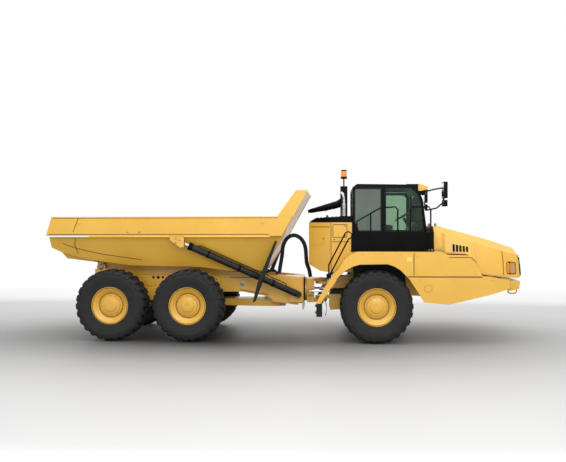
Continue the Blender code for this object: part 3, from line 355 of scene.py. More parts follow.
# ---------------------------------------------------------------- surfaces
@dataclass
class Shell:
    """Collects grids and faces of one piece, then makes its mesh."""

    points: list[np.ndarray] = field(default_factory=list)
    faces: list[np.ndarray] = field(default_factory=list)
    count: int = 0

    def add(self, points: np.ndarray, faces: list | np.ndarray) -> "Shell":
        """Adds loose points and the faces between them.

        Args:
            points: an array of shape (n, 3).
            faces: rows of indices into those points; rows may differ in length.
        Returns:
            This shell.
        """
        self.points.append(np.asarray(points, float).reshape(-1, 3))
        self.faces += [np.asarray(row) + self.count for row in faces]
        self.count += len(self.points[-1])
        return self

    def grid(self, points: np.ndarray, wrap_u: bool = False, wrap_v: bool = False, caps: bool = False) -> "Shell":
        """Adds a grid of quads, point (i, j) joined to (i+1, j) and (i, j+1).

        Args:
            points: an array of shape (m, n, 3).
            wrap_u: whether the last row joins the first.
            wrap_v: whether the last column joins the first.
            caps: whether the first and last rows are filled as polygons.
        Returns:
            This shell.
        """
        m, n = points.shape[:2]
        index = np.arange(m * n).reshape(m, n)
        if wrap_u:
            index = np.vstack([index, index[:1]])
        if wrap_v:
            index = np.hstack([index, index[:, :1]])
        quads = np.stack([index[:-1, :-1], index[1:, :-1], index[1:, 1:], index[:-1, 1:]], -1).reshape(-1, 4)
        rows = list(quads)
        if caps:
            rows += [np.arange(n), np.arange(m * n - n, m * n)[::-1]]
        return self.add(points, rows)

    def tube(self, path: np.ndarray, radius: float | np.ndarray, sides: int = 12) -> "Shell":
        """Carries a circle along a path, its plane square to the path and its turn carried on without twist.

        Args:
            path: an array of shape (n, 3).
            radius: one radius, or one for each point.
            sides: points round the circle.
        Returns:
            This shell.
        """
        path = np.asarray(path, float)
        ahead = np.gradient(path, axis=0)
        ahead /= np.linalg.norm(ahead, axis=1)[:, None]
        start = np.cross(ahead[0], (0.0, 0.0, 1.0) if abs(ahead[0][2]) < 0.9 else (0.0, 1.0, 0.0))
        across = [start / np.linalg.norm(start)]
        for direction in ahead[1:]:
            carried = across[-1] - direction * (across[-1] @ direction)
            across.append(carried / np.linalg.norm(carried))
        across = np.array(across)
        up = np.cross(ahead, across)
        angle = np.linspace(0, 2 * math.pi, sides, endpoint=False)
        radii = np.broadcast_to(np.asarray(radius, float), (len(path),))[:, None, None]
        ring = across[:, None] * np.cos(angle)[None, :, None] + up[:, None] * np.sin(angle)[None, :, None]
        return self.grid(path[:, None] + ring * radii, wrap_v=True, caps=True)

    def turned(self, profile: list[tuple[float, float]], centre: tuple, axis: str = "Y", sides: int = 96,
               closed: bool = False) -> "Shell":
        """Turns a (radius, offset along the axis) profile round an axis through centre.

        Args:
            profile: the points in order along the outline.
            centre: a point on the axis.
            axis: X, Y or Z.
            sides: steps round.
            closed: whether the profile's end joins its start.
        Returns:
            This shell.
        """
        angle = np.linspace(0, 2 * math.pi, sides, endpoint=False)
        radius, offset = np.array(profile, float).T
        a, b = radius[:, None] * np.cos(angle), radius[:, None] * np.sin(angle)
        along = np.repeat(offset[:, None], sides, 1)
        order = {"X": (along, a, b), "Y": (b, along, a), "Z": (a, b, along)}[axis]
        grid = np.stack(order, -1) + np.array(centre)
        return self.grid(grid, wrap_u=closed, wrap_v=True, caps=not closed)

    def block(self, low: tuple, high: tuple) -> "Shell":
        """Adds a box between two corners.

        Args:
            low: its lowest corner.
            high: its highest corner.
        Returns:
            This shell.
        """
        x, y, z = zip(low, high)
        corners = [(i, j, k) for i in x for j in y for k in z]
        walls = [(0, 1, 3, 2), (4, 6, 7, 5), (0, 4, 5, 1), (2, 3, 7, 6), (0, 2, 6, 4), (1, 5, 7, 3)]
        return self.add(np.array(corners), walls)

    def bolts(self, places: np.ndarray, outward: np.ndarray, radius: float, height: float, sides: int = 6) -> "Shell":
        """Adds chamfered hexagon heads.

        Args:
            places: an array of shape (n, 3) of seats.
            outward: one direction, or one for each place.
            radius: across the corners, halved.
            height: how far a head stands up.
            sides: 6, or more for a round boss.
        Returns:
            This shell.
        """
        places = np.asarray(places, float).reshape(-1, 3)
        directions = np.broadcast_to(np.asarray(outward, float), places.shape)
        for place, direction in zip(places, directions):
            n = direction / np.linalg.norm(direction)
            a = np.cross(n, (0.0, 0.0, 1.0) if abs(n[2]) < 0.9 else (1.0, 0.0, 0.0))
            a /= np.linalg.norm(a)
            b = np.cross(n, a)
            turn = np.linspace(0, 2 * math.pi, sides, endpoint=False)
            ring = np.cos(turn)[:, None] * a + np.sin(turn)[:, None] * b
            rows = [place - n * SINK + ring * radius, place + n * height * 0.75 + ring * radius,
                    place + n * height + ring * radius * 0.82]
            self.grid(np.stack(rows), wrap_v=True, caps=True)
        return self

    def piece(self, name: str, body: str, finish: Finish, smooth: float | None = 35.0, bevel: float = 0.0,
              subdivide: int = 0) -> bpy.types.Object:
        """Makes the object, turns its faces outwards and rides it on a body.

        Args:
            name: the piece's name.
            body: the CAD body it moves with.
            finish: what it is made of.
            smooth: the angle in degrees under which edges shade smooth, or None for flat.
            bevel: width of rounded edges in metres.
            subdivide: levels of subdivision.
        Returns:
            The object.
        """
        mesh = bpy.data.meshes.new(name)
        mesh.from_pydata(np.concatenate(self.points).tolist(), [], [row.tolist() for row in self.faces])
        mesh.update()
        item = bpy.data.objects.new(name, mesh)
        bpy.context.scene.collection.objects.link(item)
        outward(mesh)
        if bevel:
            edge = item.modifiers.new("rounded_edges", "BEVEL")
            edge.width, edge.segments, edge.limit_method = bevel, 2, "ANGLE"
        if subdivide:
            curve = item.modifiers.new("crowned", "SUBSURF")
            curve.levels = curve.render_levels = subdivide
        if smooth is not None:
            mesh.polygons.foreach_set("use_smooth", [True] * len(mesh.polygons))
            if not subdivide:
                mark_sharp(mesh, smooth)
        item.data.materials.append(finish.material())
        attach(item, body)
        LOG.info("%s on %s: %d faces", name, body, len(mesh.polygons))
        return item


def outward(mesh: bpy.types.Mesh) -> None:
    """Turns every closed shell's faces outwards.

    Args:
        mesh: the mesh to change.
    """
    work = bmesh.new()
    work.from_mesh(mesh)
    bmesh.ops.recalc_face_normals(work, faces=work.faces)
    work.to_mesh(mesh)
    work.free()


def mark_sharp(mesh: bpy.types.Mesh, angle: float) -> None:
    """Marks the edges that turn by more than angle degrees, so that the rest shade smooth.

    Args:
        mesh: the mesh to change.
        angle: the limit in degrees.
    """
    work = bmesh.new()
    work.from_mesh(mesh)
    limit = math.radians(angle)
    for edge in work.edges:
        edge.smooth = len(edge.link_faces) == 2 and edge.calc_face_angle(0.0) < limit
    work.to_mesh(mesh)
    work.free()


def rounded_grid(corners: np.ndarray, fullness: float, steps: int) -> np.ndarray:
    """Fills four corners with a grid whose outline is rounded.

    A square grid's rings are pulled towards a superellipse of power 2 / (1 - fullness), then laid between the corners
    by bilinear blending.

    Args:
        corners: four points in order round, shape (4, 2).
        fullness: 0 for an ellipse, near 1 for sharp corners.
        steps: cells along a side.
    Returns:
        Points of shape (steps + 1, steps + 1, 2).
    """
    u, v = np.meshgrid(np.linspace(-1, 1, steps + 1), np.linspace(-1, 1, steps + 1), indexing="ij")
    power = 2 / max(1 - fullness, 0.05)
    ring = np.maximum(np.abs(u), np.abs(v))
    length = (np.abs(u) ** power + np.abs(v) ** power) ** (1 / power)
    shrink = np.divide(ring, length, out=np.ones_like(ring), where=length > 0)
    s, t = (u * shrink + 1) / 2, (v * shrink + 1) / 2
    a, b, c, d = (np.asarray(p, float) for p in corners)
    s, t = s[..., None], t[..., None]
    return (a * (1 - s) + b * s) * (1 - t) + (d * (1 - s) + c * s) * t


def rim_order(count: int) -> np.ndarray:
    """The places of a square grid's border points, in order round it.

    Args:
        count: points along a side.
    Returns:
        The places, counted row by row.
    """
    last = count * count
    return np.concatenate([np.arange(count), np.arange(2 * count - 1, last, count),
                           np.arange(last - 2, last - count - 1, -1), np.arange(count * (count - 2), 0, -count)])


@dataclass
class Panels:
    """Lays seams, plates and lamps on the CAD's own skin, as seen square to one direction.

    A point of a drawing is dropped along the view direction on to the named nodes.
    """

    nodes: dict[str, bpy.types.Object]
    datum: float

    def tree(self, names: tuple[str, ...]) -> BVHTree:
        """A search tree of the named nodes' faces.

        Args:
            names: the nodes to search.
        Returns:
            The tree.
        """
        points, faces, count = [], [], 0
        for name in names:
            mesh = self.nodes[name].data
            points += [v.co.copy() for v in mesh.vertices]
            faces += [[i + count for i in p.vertices] for p in mesh.polygons]
            count = len(points)
        return BVHTree.FromPolygons(points, faces)

    def drop(self, names: tuple[str, ...], drawing: np.ndarray, view: str) -> tuple[np.ndarray, np.ndarray]:
        """Drops drawn points on to the skin.

        Args:
            names: the nodes that may be hit.
            drawing: points (x, z) for the right and left, (y, z) for the front and rear, or (x, y) for the top.
            view: right, left, front, rear or top.
        Returns:
            The hit points and the outward normals, each of the drawing's shape with a third axis value.
        """
        tree = self.tree(names)
        flat = np.asarray(drawing, float).reshape(-1, 2)
        hits, normals = [], []
        for a, b in flat:
            start, heading = {
                "right": ((a + self.datum, -BEYOND_SIDE, b), (0, 1, 0)),
                "left": ((a + self.datum, BEYOND_SIDE, b), (0, -1, 0)),
                "front": ((BEYOND_END, a, b), (-1, 0, 0)), "rear": ((-BEYOND_END, a, b), (1, 0, 0)),
                "top": ((a + self.datum, b, BEYOND_END), (0, 0, -1)),
            }[view]
            hit, normal, _, _ = tree.ray_cast(Vector(start), Vector(heading))
            if hit is None:
                hit, normal, _, _ = tree.find_nearest(Vector(start) + Vector(heading) * NEAR_SKIN)
            hits.append(tuple(hit))
            normals.append(tuple(normal if normal.dot(Vector(heading)) < 0 else -normal))
        shape = np.asarray(drawing).shape[:-1] + (3,)
        return np.array(hits).reshape(shape), np.array(normals).reshape(shape)

    def seam(self, shell: Shell, names: tuple[str, ...], line: list, view: str, width: float = 0.014,
             lift: float = 0.0015) -> Shell:
        """Lays a narrow strip along a drawn line, a little proud of the skin.

        Args:
            shell: the shell that takes it.
            names: the nodes that it lies on.
            line: drawn points.
            view: the side it is drawn from.
            width: the strip's width in metres.
            lift: how far it stands off the skin.
        Returns:
            The shell.
        """
        line = np.asarray(line, float)
        reach = np.concatenate([[0], np.cumsum(np.linalg.norm(np.diff(line, axis=0), axis=1))])
        count = max(3, int(reach[-1] / 0.03) + 2)
        at = np.linspace(0, reach[-1], count)
        path = np.stack([np.interp(at, reach, line[:, k]) for k in (0, 1)], -1)
        along = np.gradient(path, axis=0)
        along /= np.maximum(np.linalg.norm(along, axis=1)[:, None], 1e-9)
        side = np.stack([-along[:, 1], along[:, 0]], -1) * width / 2
        drawn = np.stack([path - side, path + side], 1)
        hits, normals = self.drop(names, drawn, view)
        top = hits + normals * lift
        under = hits - normals * lift
        loop = np.stack([under[:, 0], top[:, 0], top[:, 1], under[:, 1]], 1)
        return shell.grid(loop, wrap_v=True, caps=True)

    def plate(self, shell: Shell, names: tuple[str, ...], corners: list, view: str, lift: float = 0.006,
              fullness: float = 0.85, steps: int = 10, crown: float = 0.0, flat: bool = False) -> Shell:
        """Lays a plate with rounded corners on the skin, its edge going down into it.

        Args:
            shell: the shell that takes it.
            names: the nodes that it lies on.
            corners: four drawn corners in order.
            view: the side it is drawn from.
            lift: how far its face stands off the skin.
            fullness: squareness of its corners.
            steps: cells along a side.
            crown: extra height at its middle.
            flat: whether it keeps one mean plane in place of the skin's curve.
        Returns:
            The shell.
        """
        drawn = rounded_grid(np.array(corners, float), fullness, steps)
        hits, normals = self.drop(names, drawn, view)
        if flat:
            normal = normals.reshape(-1, 3).mean(0)
            normal /= np.linalg.norm(normal)
            depth = ((hits - hits.reshape(-1, 3).mean(0)) @ normal)
            hits = hits - depth[..., None] * normal + normal * depth.max()
            normals = np.broadcast_to(normal, hits.shape)
        u = np.linspace(-1, 1, steps + 1)
        bulge = np.clip((1 - u[:, None] ** 2) * (1 - u[None, :] ** 2), 0, 1)[..., None] * crown
        face = hits + normals * (lift + bulge)
        back = hits - normals * SINK
        border = rim_order(steps + 1)
        shell.grid(face)
        ring = np.stack([face.reshape(-1, 3)[border], back.reshape(-1, 3)[border]])
        shell.grid(ring, wrap_v=True)
        return shell.grid(back)


# ---------------------------------------------------------------- wheels
@dataclass
class Wheel:
    """A treaded earthmover tyre on a yellow rim whose darker groove ring is painted shade, at the place of its CAD
    pair. Lengths are in metres.
    """

    axle: str
    side: Side
    radius: float = 0.785
    half_width: float = 0.292
    groove: float = 0.036
    lugs: int = 26
    nuts: int = 12
    nut_circle: float = 0.231
    screw_circle: float = 0.176
    centre: np.ndarray = field(init=False)
    body: str = field(init=False)

    def build(self) -> None:
        """Makes the tyre and the rim in place of their CAD nodes."""
        tyre, rim = f"tyre_{self.axle}_{self.side.word}", f"rim_{self.axle}_{self.side.word}"
        low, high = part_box(tyre)
        self.centre = np.array([(a + b) / 2 for a, b in zip(low, high)])
        self.centre[2] = self.radius
        self.body = f"wheel_{self.axle}_{self.side.word}"
        self.make_tyre(tyre)
        self.make_rim(rim)

    def make_tyre(self, node: str) -> None:
        """Turns the carcass, then lays lugs over its crown and shoulders.

        The carcass is a profile turned about the axle. A lug is a grid over (run, rise): run goes from the middle of
        the crown over the shoulder along the carcass, rise stands it out by the groove's depth; its centre line
        leans round the wheel as the square of the run, so the lugs sweep back to the shoulder.

        Args:
            node: the CAD tyre it stands for.
        """
        base = self.radius - self.groove
        half = self.half_width
        wall = [(0.400, 0.215), (0.418, 0.262), (0.430, 0.272), (0.446, 0.270), (0.50, 0.284), (0.56, half - 0.002),
                (0.60, half), (0.632, half + 0.001), (0.640, half - 0.003), (0.66, half - 0.006), (0.69, 0.278),
                (0.715, 0.266), (0.733, 0.250), (base - 0.004, 0.226), (base, 0.19), (base, 0.0)]
        full = wall + [(r, -y) for r, y in wall[-2::-1]]
        shell = Shell().turned([(r, y) for r, y in full] + [(0.40, 0.0)], tuple(self.centre), sides=120, closed=True)
        table = np.array([(0.0, base, 0.0), (0.10, base, 0.0), (0.19, base, 0.0), (0.232, base - 0.008, 0.25),
                          (0.262, 0.726, 0.7), (0.281, 0.694, 0.95)])
        shoulder = table[-1, 0]
        across = np.linspace(-0.02, shoulder, 9)
        floor_r = np.interp(across, table[:, 0], table[:, 1])
        lean = np.interp(across, table[:, 0], table[:, 2])
        top_r = floor_r + self.groove * (1 - lean * 0.72)
        top_r = np.minimum(top_r, self.radius)
        out = across + lean * self.groove * 0.22
        out = np.minimum(out, 0.2935)
        pitch = 2 * math.pi / self.lugs
        for flank in (-1, 1):
            start = 0.0 if flank < 0 else pitch / 2
            sweep = (np.maximum(across, 0) / shoulder) ** 2 * pitch * 0.25
            width = pitch * (0.26 + 0.05 * (across / shoulder))
            u = np.array([-1.0, -0.82, 0.82, 1.0])
            drop = np.array([1.0, 0.0, 0.0, 1.0])
            radius = top_r[:, None] * (1 - drop) + (floor_r - 0.008)[:, None] * drop
            lateral = out[:, None] * (1 - drop) + (across - 0.006)[:, None] * drop
            for k in range(self.lugs):
                middle = start + k * pitch + sweep
                angle = middle[:, None] + width[:, None] * u * (1 + 0.12 * drop)
                grid = np.stack([radius * np.cos(angle), flank * lateral, radius * np.sin(angle)], -1)
                edge_low = grid[:1].copy()
                reach = np.maximum(np.hypot(edge_low[..., 0], edge_low[..., 2]), 1e-6)
                edge_low[..., (0, 2)] *= ((floor_r[0] - 0.01) / reach)[..., None]
                edge_out = grid[-1:].copy()
                edge_out[..., (0, 2)] *= 0.985
                edge_out[..., 1] *= 0.93
                shell.grid(np.concatenate([edge_low, grid, edge_out]) + self.centre, caps=True)
        item = shell.piece(f"tread_{self.axle}_{self.side.word}", self.body, RUBBER, smooth=28)
        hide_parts(node)

    def ring_of(self, radius: float, offset: float, angle: np.ndarray) -> np.ndarray:
        """Places round the axle at one radius and one distance out from the wheel's middle.

        Args:
            radius: distance from the axle.
            offset: distance along the axle.
            angle: one angle for each place.
        Returns:
            Points of shape (n, 3).
        """
        circle = [radius * np.cos(angle), np.full(len(angle), offset), radius * np.sin(angle)]
        return np.stack(circle, -1) + self.centre

    def make_rim(self, node: str) -> None:
        """Turns the rim's lip, its ring of painted shade and the hub, then sets the nuts and screws.

        Args:
            node: the CAD rim it stands for.
        """
        s = self.side.value
        centre = tuple(self.centre)

        def turned_piece(name: str, profile: list, finish: Finish) -> bpy.types.Object:
            """Turns one closed (radius, offset) outline and rides it on the wheel."""
            shell = Shell().turned([(r, s * y) for r, y in profile], centre, sides=96, closed=True)
            return shell.piece(f"{name}_{self.axle}_{self.side.word}", self.body, finish, smooth=30)

        lip = [(0.396, -0.218), (0.396, 0.214), (0.404, 0.236), (0.4085, 0.247), (0.400, 0.2485), (0.388, 0.246),
               (0.380, 0.236), (0.376, 0.214), (0.366, 0.208), (0.345, 0.203), (0.335, 0.195), (0.315, 0.172),
               (0.292, 0.155), (0.280, 0.148), (0.277, 0.09), (0.360, 0.085), (0.368, -0.218)]
        rim = turned_piece("rim_lip", lip, YELLOW)
        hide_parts(node)
        turned_piece("lock_ring", [(0.386, 0.2455), (0.393, 0.2455), (0.393, 0.252), (0.386, 0.252)], GASKET_AND_HOLE_SHADE)
        # The well ring's darker brown-yellow is painted shade in the rim's groove.
        turned_piece("rim_well", [(0.288, 0.104), (0.276, 0.100), (0.266, 0.098), (0.258, 0.100), (0.246, 0.106),
                                  (0.24, 0.092), (0.24, 0.082), (0.288, 0.084)], WELL)
        hub = [(0.252, 0.09), (0.251, 0.136), (0.246, 0.144), (0.212, 0.149), (0.208, 0.164), (0.202, 0.172),
               (0.150, 0.181), (0.138, 0.186), (0.130, 0.199), (0.118, 0.203), (0.036, 0.2045), (0.030, 0.200),
               (0.0, 0.200), (0.0, 0.09)]
        turned_piece("hub_cover", hub, YELLOW)
        nuts = Shell()
        angle = np.linspace(0, 2 * math.pi, self.nuts, endpoint=False) + 0.13
        nuts.bolts(self.ring_of(self.nut_circle, s * 0.145, angle), (0, s, 0), 0.0115, 0.018)
        nuts.piece(f"wheel_nuts_{self.axle}_{self.side.word}", self.body, YELLOW, smooth=30)
        small = Shell()
        angle = np.linspace(0, 2 * math.pi, 8, endpoint=False)
        small.bolts(self.ring_of(self.screw_circle, s * 0.177, angle), (0, s, 0), 0.009, 0.009)
        small.bolts(np.array([[0.0, s * 0.203, 0.075]]) + self.centre, (0, s, 0), 0.014, 0.008)
        small.piece(f"hub_screws_{self.axle}_{self.side.word}", self.body, YELLOW, smooth=30)


# ---------------------------------------------------------------- the truck's parts
@dataclass
class Part:
    """What every sub-assembly shares: the front axle's place and a way to lay things on the CAD skin."""

    panels: Panels

    def at(self, x: float, y: float, z: float) -> tuple[float, float, float]:
        """A point given from the front axle, moved to the row frame."""
        return (x + self.panels.datum, y, z)

    def both_sides(self, name: str, body: str, finish: Finish, draw: Callable[[Shell, Side], None],
                   **shape: float) -> None:
        """Makes one piece on each side of the truck.

        Args:
            name: the pieces' name before the side.
            body: the body that they ride on; braces in it take the side's word.
            finish: what they are made of.
            draw: a function that fills a shell for one Side.
            shape: settings for Shell.piece.
        """
        for side in Side:
            shell = Shell()
            draw(shell, side)
            if shell.count:
                shell.piece(f"{name}_{side.word}", body.format(side.word), finish, **shape)


@dataclass
class Hose(Part):
    """The bundle of hydraulic hoses that arches from the rear frame to the hitch."""

    diameter: float = 0.096
    wrap_pitch: float = 0.038
    wrap_height: float = 0.0035
    route: tuple = ((-2.16, -0.42, 1.44), (-2.13, -0.42, 1.62), (-2.09, -0.42, 1.86), (-2.07, -0.42, 2.05),
                    (-2.00, -0.41, 2.21), (-1.88, -0.40, 2.30), (-1.74, -0.38, 2.29), (-1.62, -0.36, 2.18),
                    (-1.56, -0.33, 2.02), (-1.545, -0.29, 1.82), (-1.53, -0.25, 1.66), (-1.48, -0.21, 1.51),
                    (-1.45, -0.19, 1.345))

    def path(self, per_span: int = 5) -> np.ndarray:
        """A smooth curve through the route, each span a cubic with the mean slopes of its neighbours.

        Args:
            per_span: points in each span.
        Returns:
            Points of shape (n, 3).
        """
        knots = np.array([self.at(*p) for p in self.route])
        padded = np.vstack([2 * knots[0] - knots[1], knots, 2 * knots[-1] - knots[-2]])
        t = np.linspace(0, 1, per_span, endpoint=False)[:, None]
        spans = []
        for a, b, c, d in zip(padded[:-3], padded[1:-2], padded[2:-1], padded[3:]):
            spans.append(0.5 * (2 * b + (c - a) * t + (2 * a - 5 * b + 4 * c - d) * t ** 2
                                + (3 * b - a - 3 * c + d) * t ** 3))
        return np.vstack(spans + [knots[-1:]])

    def build(self) -> None:
        """Makes the sleeve over the bundle with a spiral wrap: its radius swells once for each turn of the wrap."""
        path = self.path()
        steps = np.linalg.norm(np.diff(path, axis=0), axis=1)
        reach = np.concatenate([[0], np.cumsum(steps)])
        fine = np.linspace(0, reach[-1], 260)
        dense = np.stack([np.interp(fine, reach, path[:, k]) for k in range(3)], -1)
        swell = np.sin(2 * math.pi * fine / self.wrap_pitch)
        radius = self.diameter / 2 - self.wrap_height + self.wrap_height * swell
        shell = Shell().tube(dense, radius, sides=20)
        item = shell.piece("hose_sleeve", "hitch", HOSE, smooth=60)
        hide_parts("hose_bundle")
        item.parent = None
        self.at(-2.02, 0, 2.2)
        self.at(-1.62, 0, 2.2)
        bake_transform(item)


@dataclass
class Tub(Part):
    """Trim of the tipping body: rail line, tail joint, bolts, prop lamp and hinge caps."""

    def build(self) -> None:
        """Lays the body's seams and fittings."""
        self.both_sides("rail_fold_shade", "dump_body", SEAM_AND_FOLD_SHADE, self.draw_rail_shade_lines)
        self.both_sides("tail_joint", "dump_body", SEAM_AND_FOLD_SHADE, self.draw_tail_joint)
        self.both_sides("body_bolts", "dump_body", ZINC, self.draw_bolts, smooth=30)
        self.both_sides("body_bosses", "dump_body", YELLOW, self.draw_bosses, smooth=30)
        self.both_sides("hinge_caps", "rear_frame", ZINC, self.draw_hinge_caps, smooth=30)
        self.both_sides("prop_lamp", "dump_body", RED, self.draw_prop_lamp, smooth=30, bevel=0.004)
        self.both_sides("tail_lamp", "rear_frame", RED, self.draw_tail_lamp, smooth=30, bevel=0.006)
        self.both_sides("tail_indicator", "rear_frame", AMBER, self.draw_tail_indicator, smooth=30, bevel=0.006)
        self.both_sides("tail_lamp_carrier", "rear_frame", SATIN, self.draw_tail_carrier, smooth=30, bevel=0.006)

    def draw_rail_shade_lines(self, shell: Shell, side: Side) -> None:
        """Dark lines of painted shade: under the folded edge just under the top of the rail, and along the fold at its
        foot.
        """
        self.panels.seam(shell, ("dump_body",), [(-7.08, 2.700), (-2.10, 2.700)], side.word, 0.010)
        self.panels.seam(shell, ("dump_body",), [(-7.18, 2.345), (-2.30, 2.345)], side.word)

    def draw_tail_joint(self, shell: Shell, side: Side) -> None:
        """The joint between the tail plate and the side, down to the fold along the floor's edge, whose dark line is
        painted shade.

        Args:
            shell: the shell that takes it.
            side: the side of the truck.
        """
        rail = [(-6.50, 2.70), (-6.62, 2.40)]
        cheek = [(-6.64, 2.26), (-6.68, 2.12), (-6.66, 1.98), (-6.64, 1.90)]
        floor_fold_shade = [(-6.95, 2.14), (-6.66, 2.03), (-6.10, 1.90), (-5.20, 1.77)]
        for line in (rail, cheek, floor_fold_shade):
            self.panels.seam(shell, ("dump_body",), line, side.word)

    def draw_bolts(self, shell: Shell, side: Side) -> None:
        """Dark bolts under the rail, and the two that hold the cylinder's bracket.

        Args:
            shell: the shell that takes it.
            side: the side of the truck.
        """
        spots = [(-5.40, 2.395), (-5.14, 2.395), (-4.335, 2.25), (-4.25, 2.22), (-4.335, 2.17)]
        hits, normals = self.panels.drop(("dump_body",), np.array(spots), side.word)
        shell.bolts(hits, normals, 0.018, 0.012)

    def draw_bosses(self, shell: Shell, side: Side) -> None:
        """Round lifting bosses on the rail.

        Args:
            shell: the shell that takes it.
            side: the side of the truck.
        """
        hits, normals = self.panels.drop(("dump_body",), np.array([(-6.48, 2.60), (-2.44, 2.60)]), side.word)
        shell.bolts(hits, normals, 0.030, 0.0, sides=20)
        shell.bolts(hits, normals, 0.028, 0.012, sides=20)

    def draw_hinge_caps(self, shell: Shell, side: Side) -> None:
        """The body hinge's pin end with its keeper plate.

        Args:
            shell: the shell that takes it.
            side: the side of the truck.
        """
        centre = self.at(-6.28, side.value * 0.601, 1.58)
        shell.turned([(0.0, -0.004), (0.062, -0.004), (0.062, side.value * 0.010), (0.05, side.value * 0.016),
                      (0.0, side.value * 0.016)], centre, sides=32)

    def draw_prop_lamp(self, shell: Shell, side: Side) -> None:
        """The red body-prop lamp under the body's side.

        Args:
            shell: the shell that takes it.
            side: the side of the truck.
        """
        x, y, z = self.at(-3.22, side.value * 0.50, 1.50)
        inner, outer = sorted((y, y + side.value * 0.03))
        shell.block((x - 0.10, inner, z - 0.03), (x + 0.10, outer, z + 0.03))

    def carrier_box(self, side: Side) -> tuple[tuple, tuple]:
        """The lamp carrier's two corners, behind the end of the frame beam.

        Args:
            side: the side of the truck.
        Returns:
            The low and the high corner.
        """
        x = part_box("rear_frame")[0][0]
        y = sorted((side.value * 0.34, side.value * 0.58))
        return (x - 0.045, y[0], 1.12), (x + 0.004, y[1], 1.26)

    def draw_tail_carrier(self, shell: Shell, side: Side) -> None:
        """The lamp carrier on the frame's end."""
        shell.block(*self.carrier_box(side))

    def draw_tail_lamp(self, shell: Shell, side: Side) -> None:
        """The square tail and brake lamp.

        Args:
            shell: the shell that takes it.
            side: the side of the truck.
        """
        low, high = self.carrier_box(side)
        middle = (low[1] + high[1]) / 2
        inner = sorted((middle - side.value * 0.105, middle - side.value * 0.005))
        shell.block((low[0] - 0.014, inner[0], 1.14), (low[0] + 0.004, inner[1], 1.24))

    def draw_tail_indicator(self, shell: Shell, side: Side) -> None:
        """The amber direction lamp beside it.

        Args:
            shell: the shell that takes it.
            side: the side of the truck.
        """
        low, high = self.carrier_box(side)
        middle = (low[1] + high[1]) / 2
        outer = sorted((middle + side.value * 0.012, middle + side.value * 0.105))
        shell.block((low[0] - 0.014, outer[0], 1.14), (low[0] + 0.004, outer[1], 1.24))


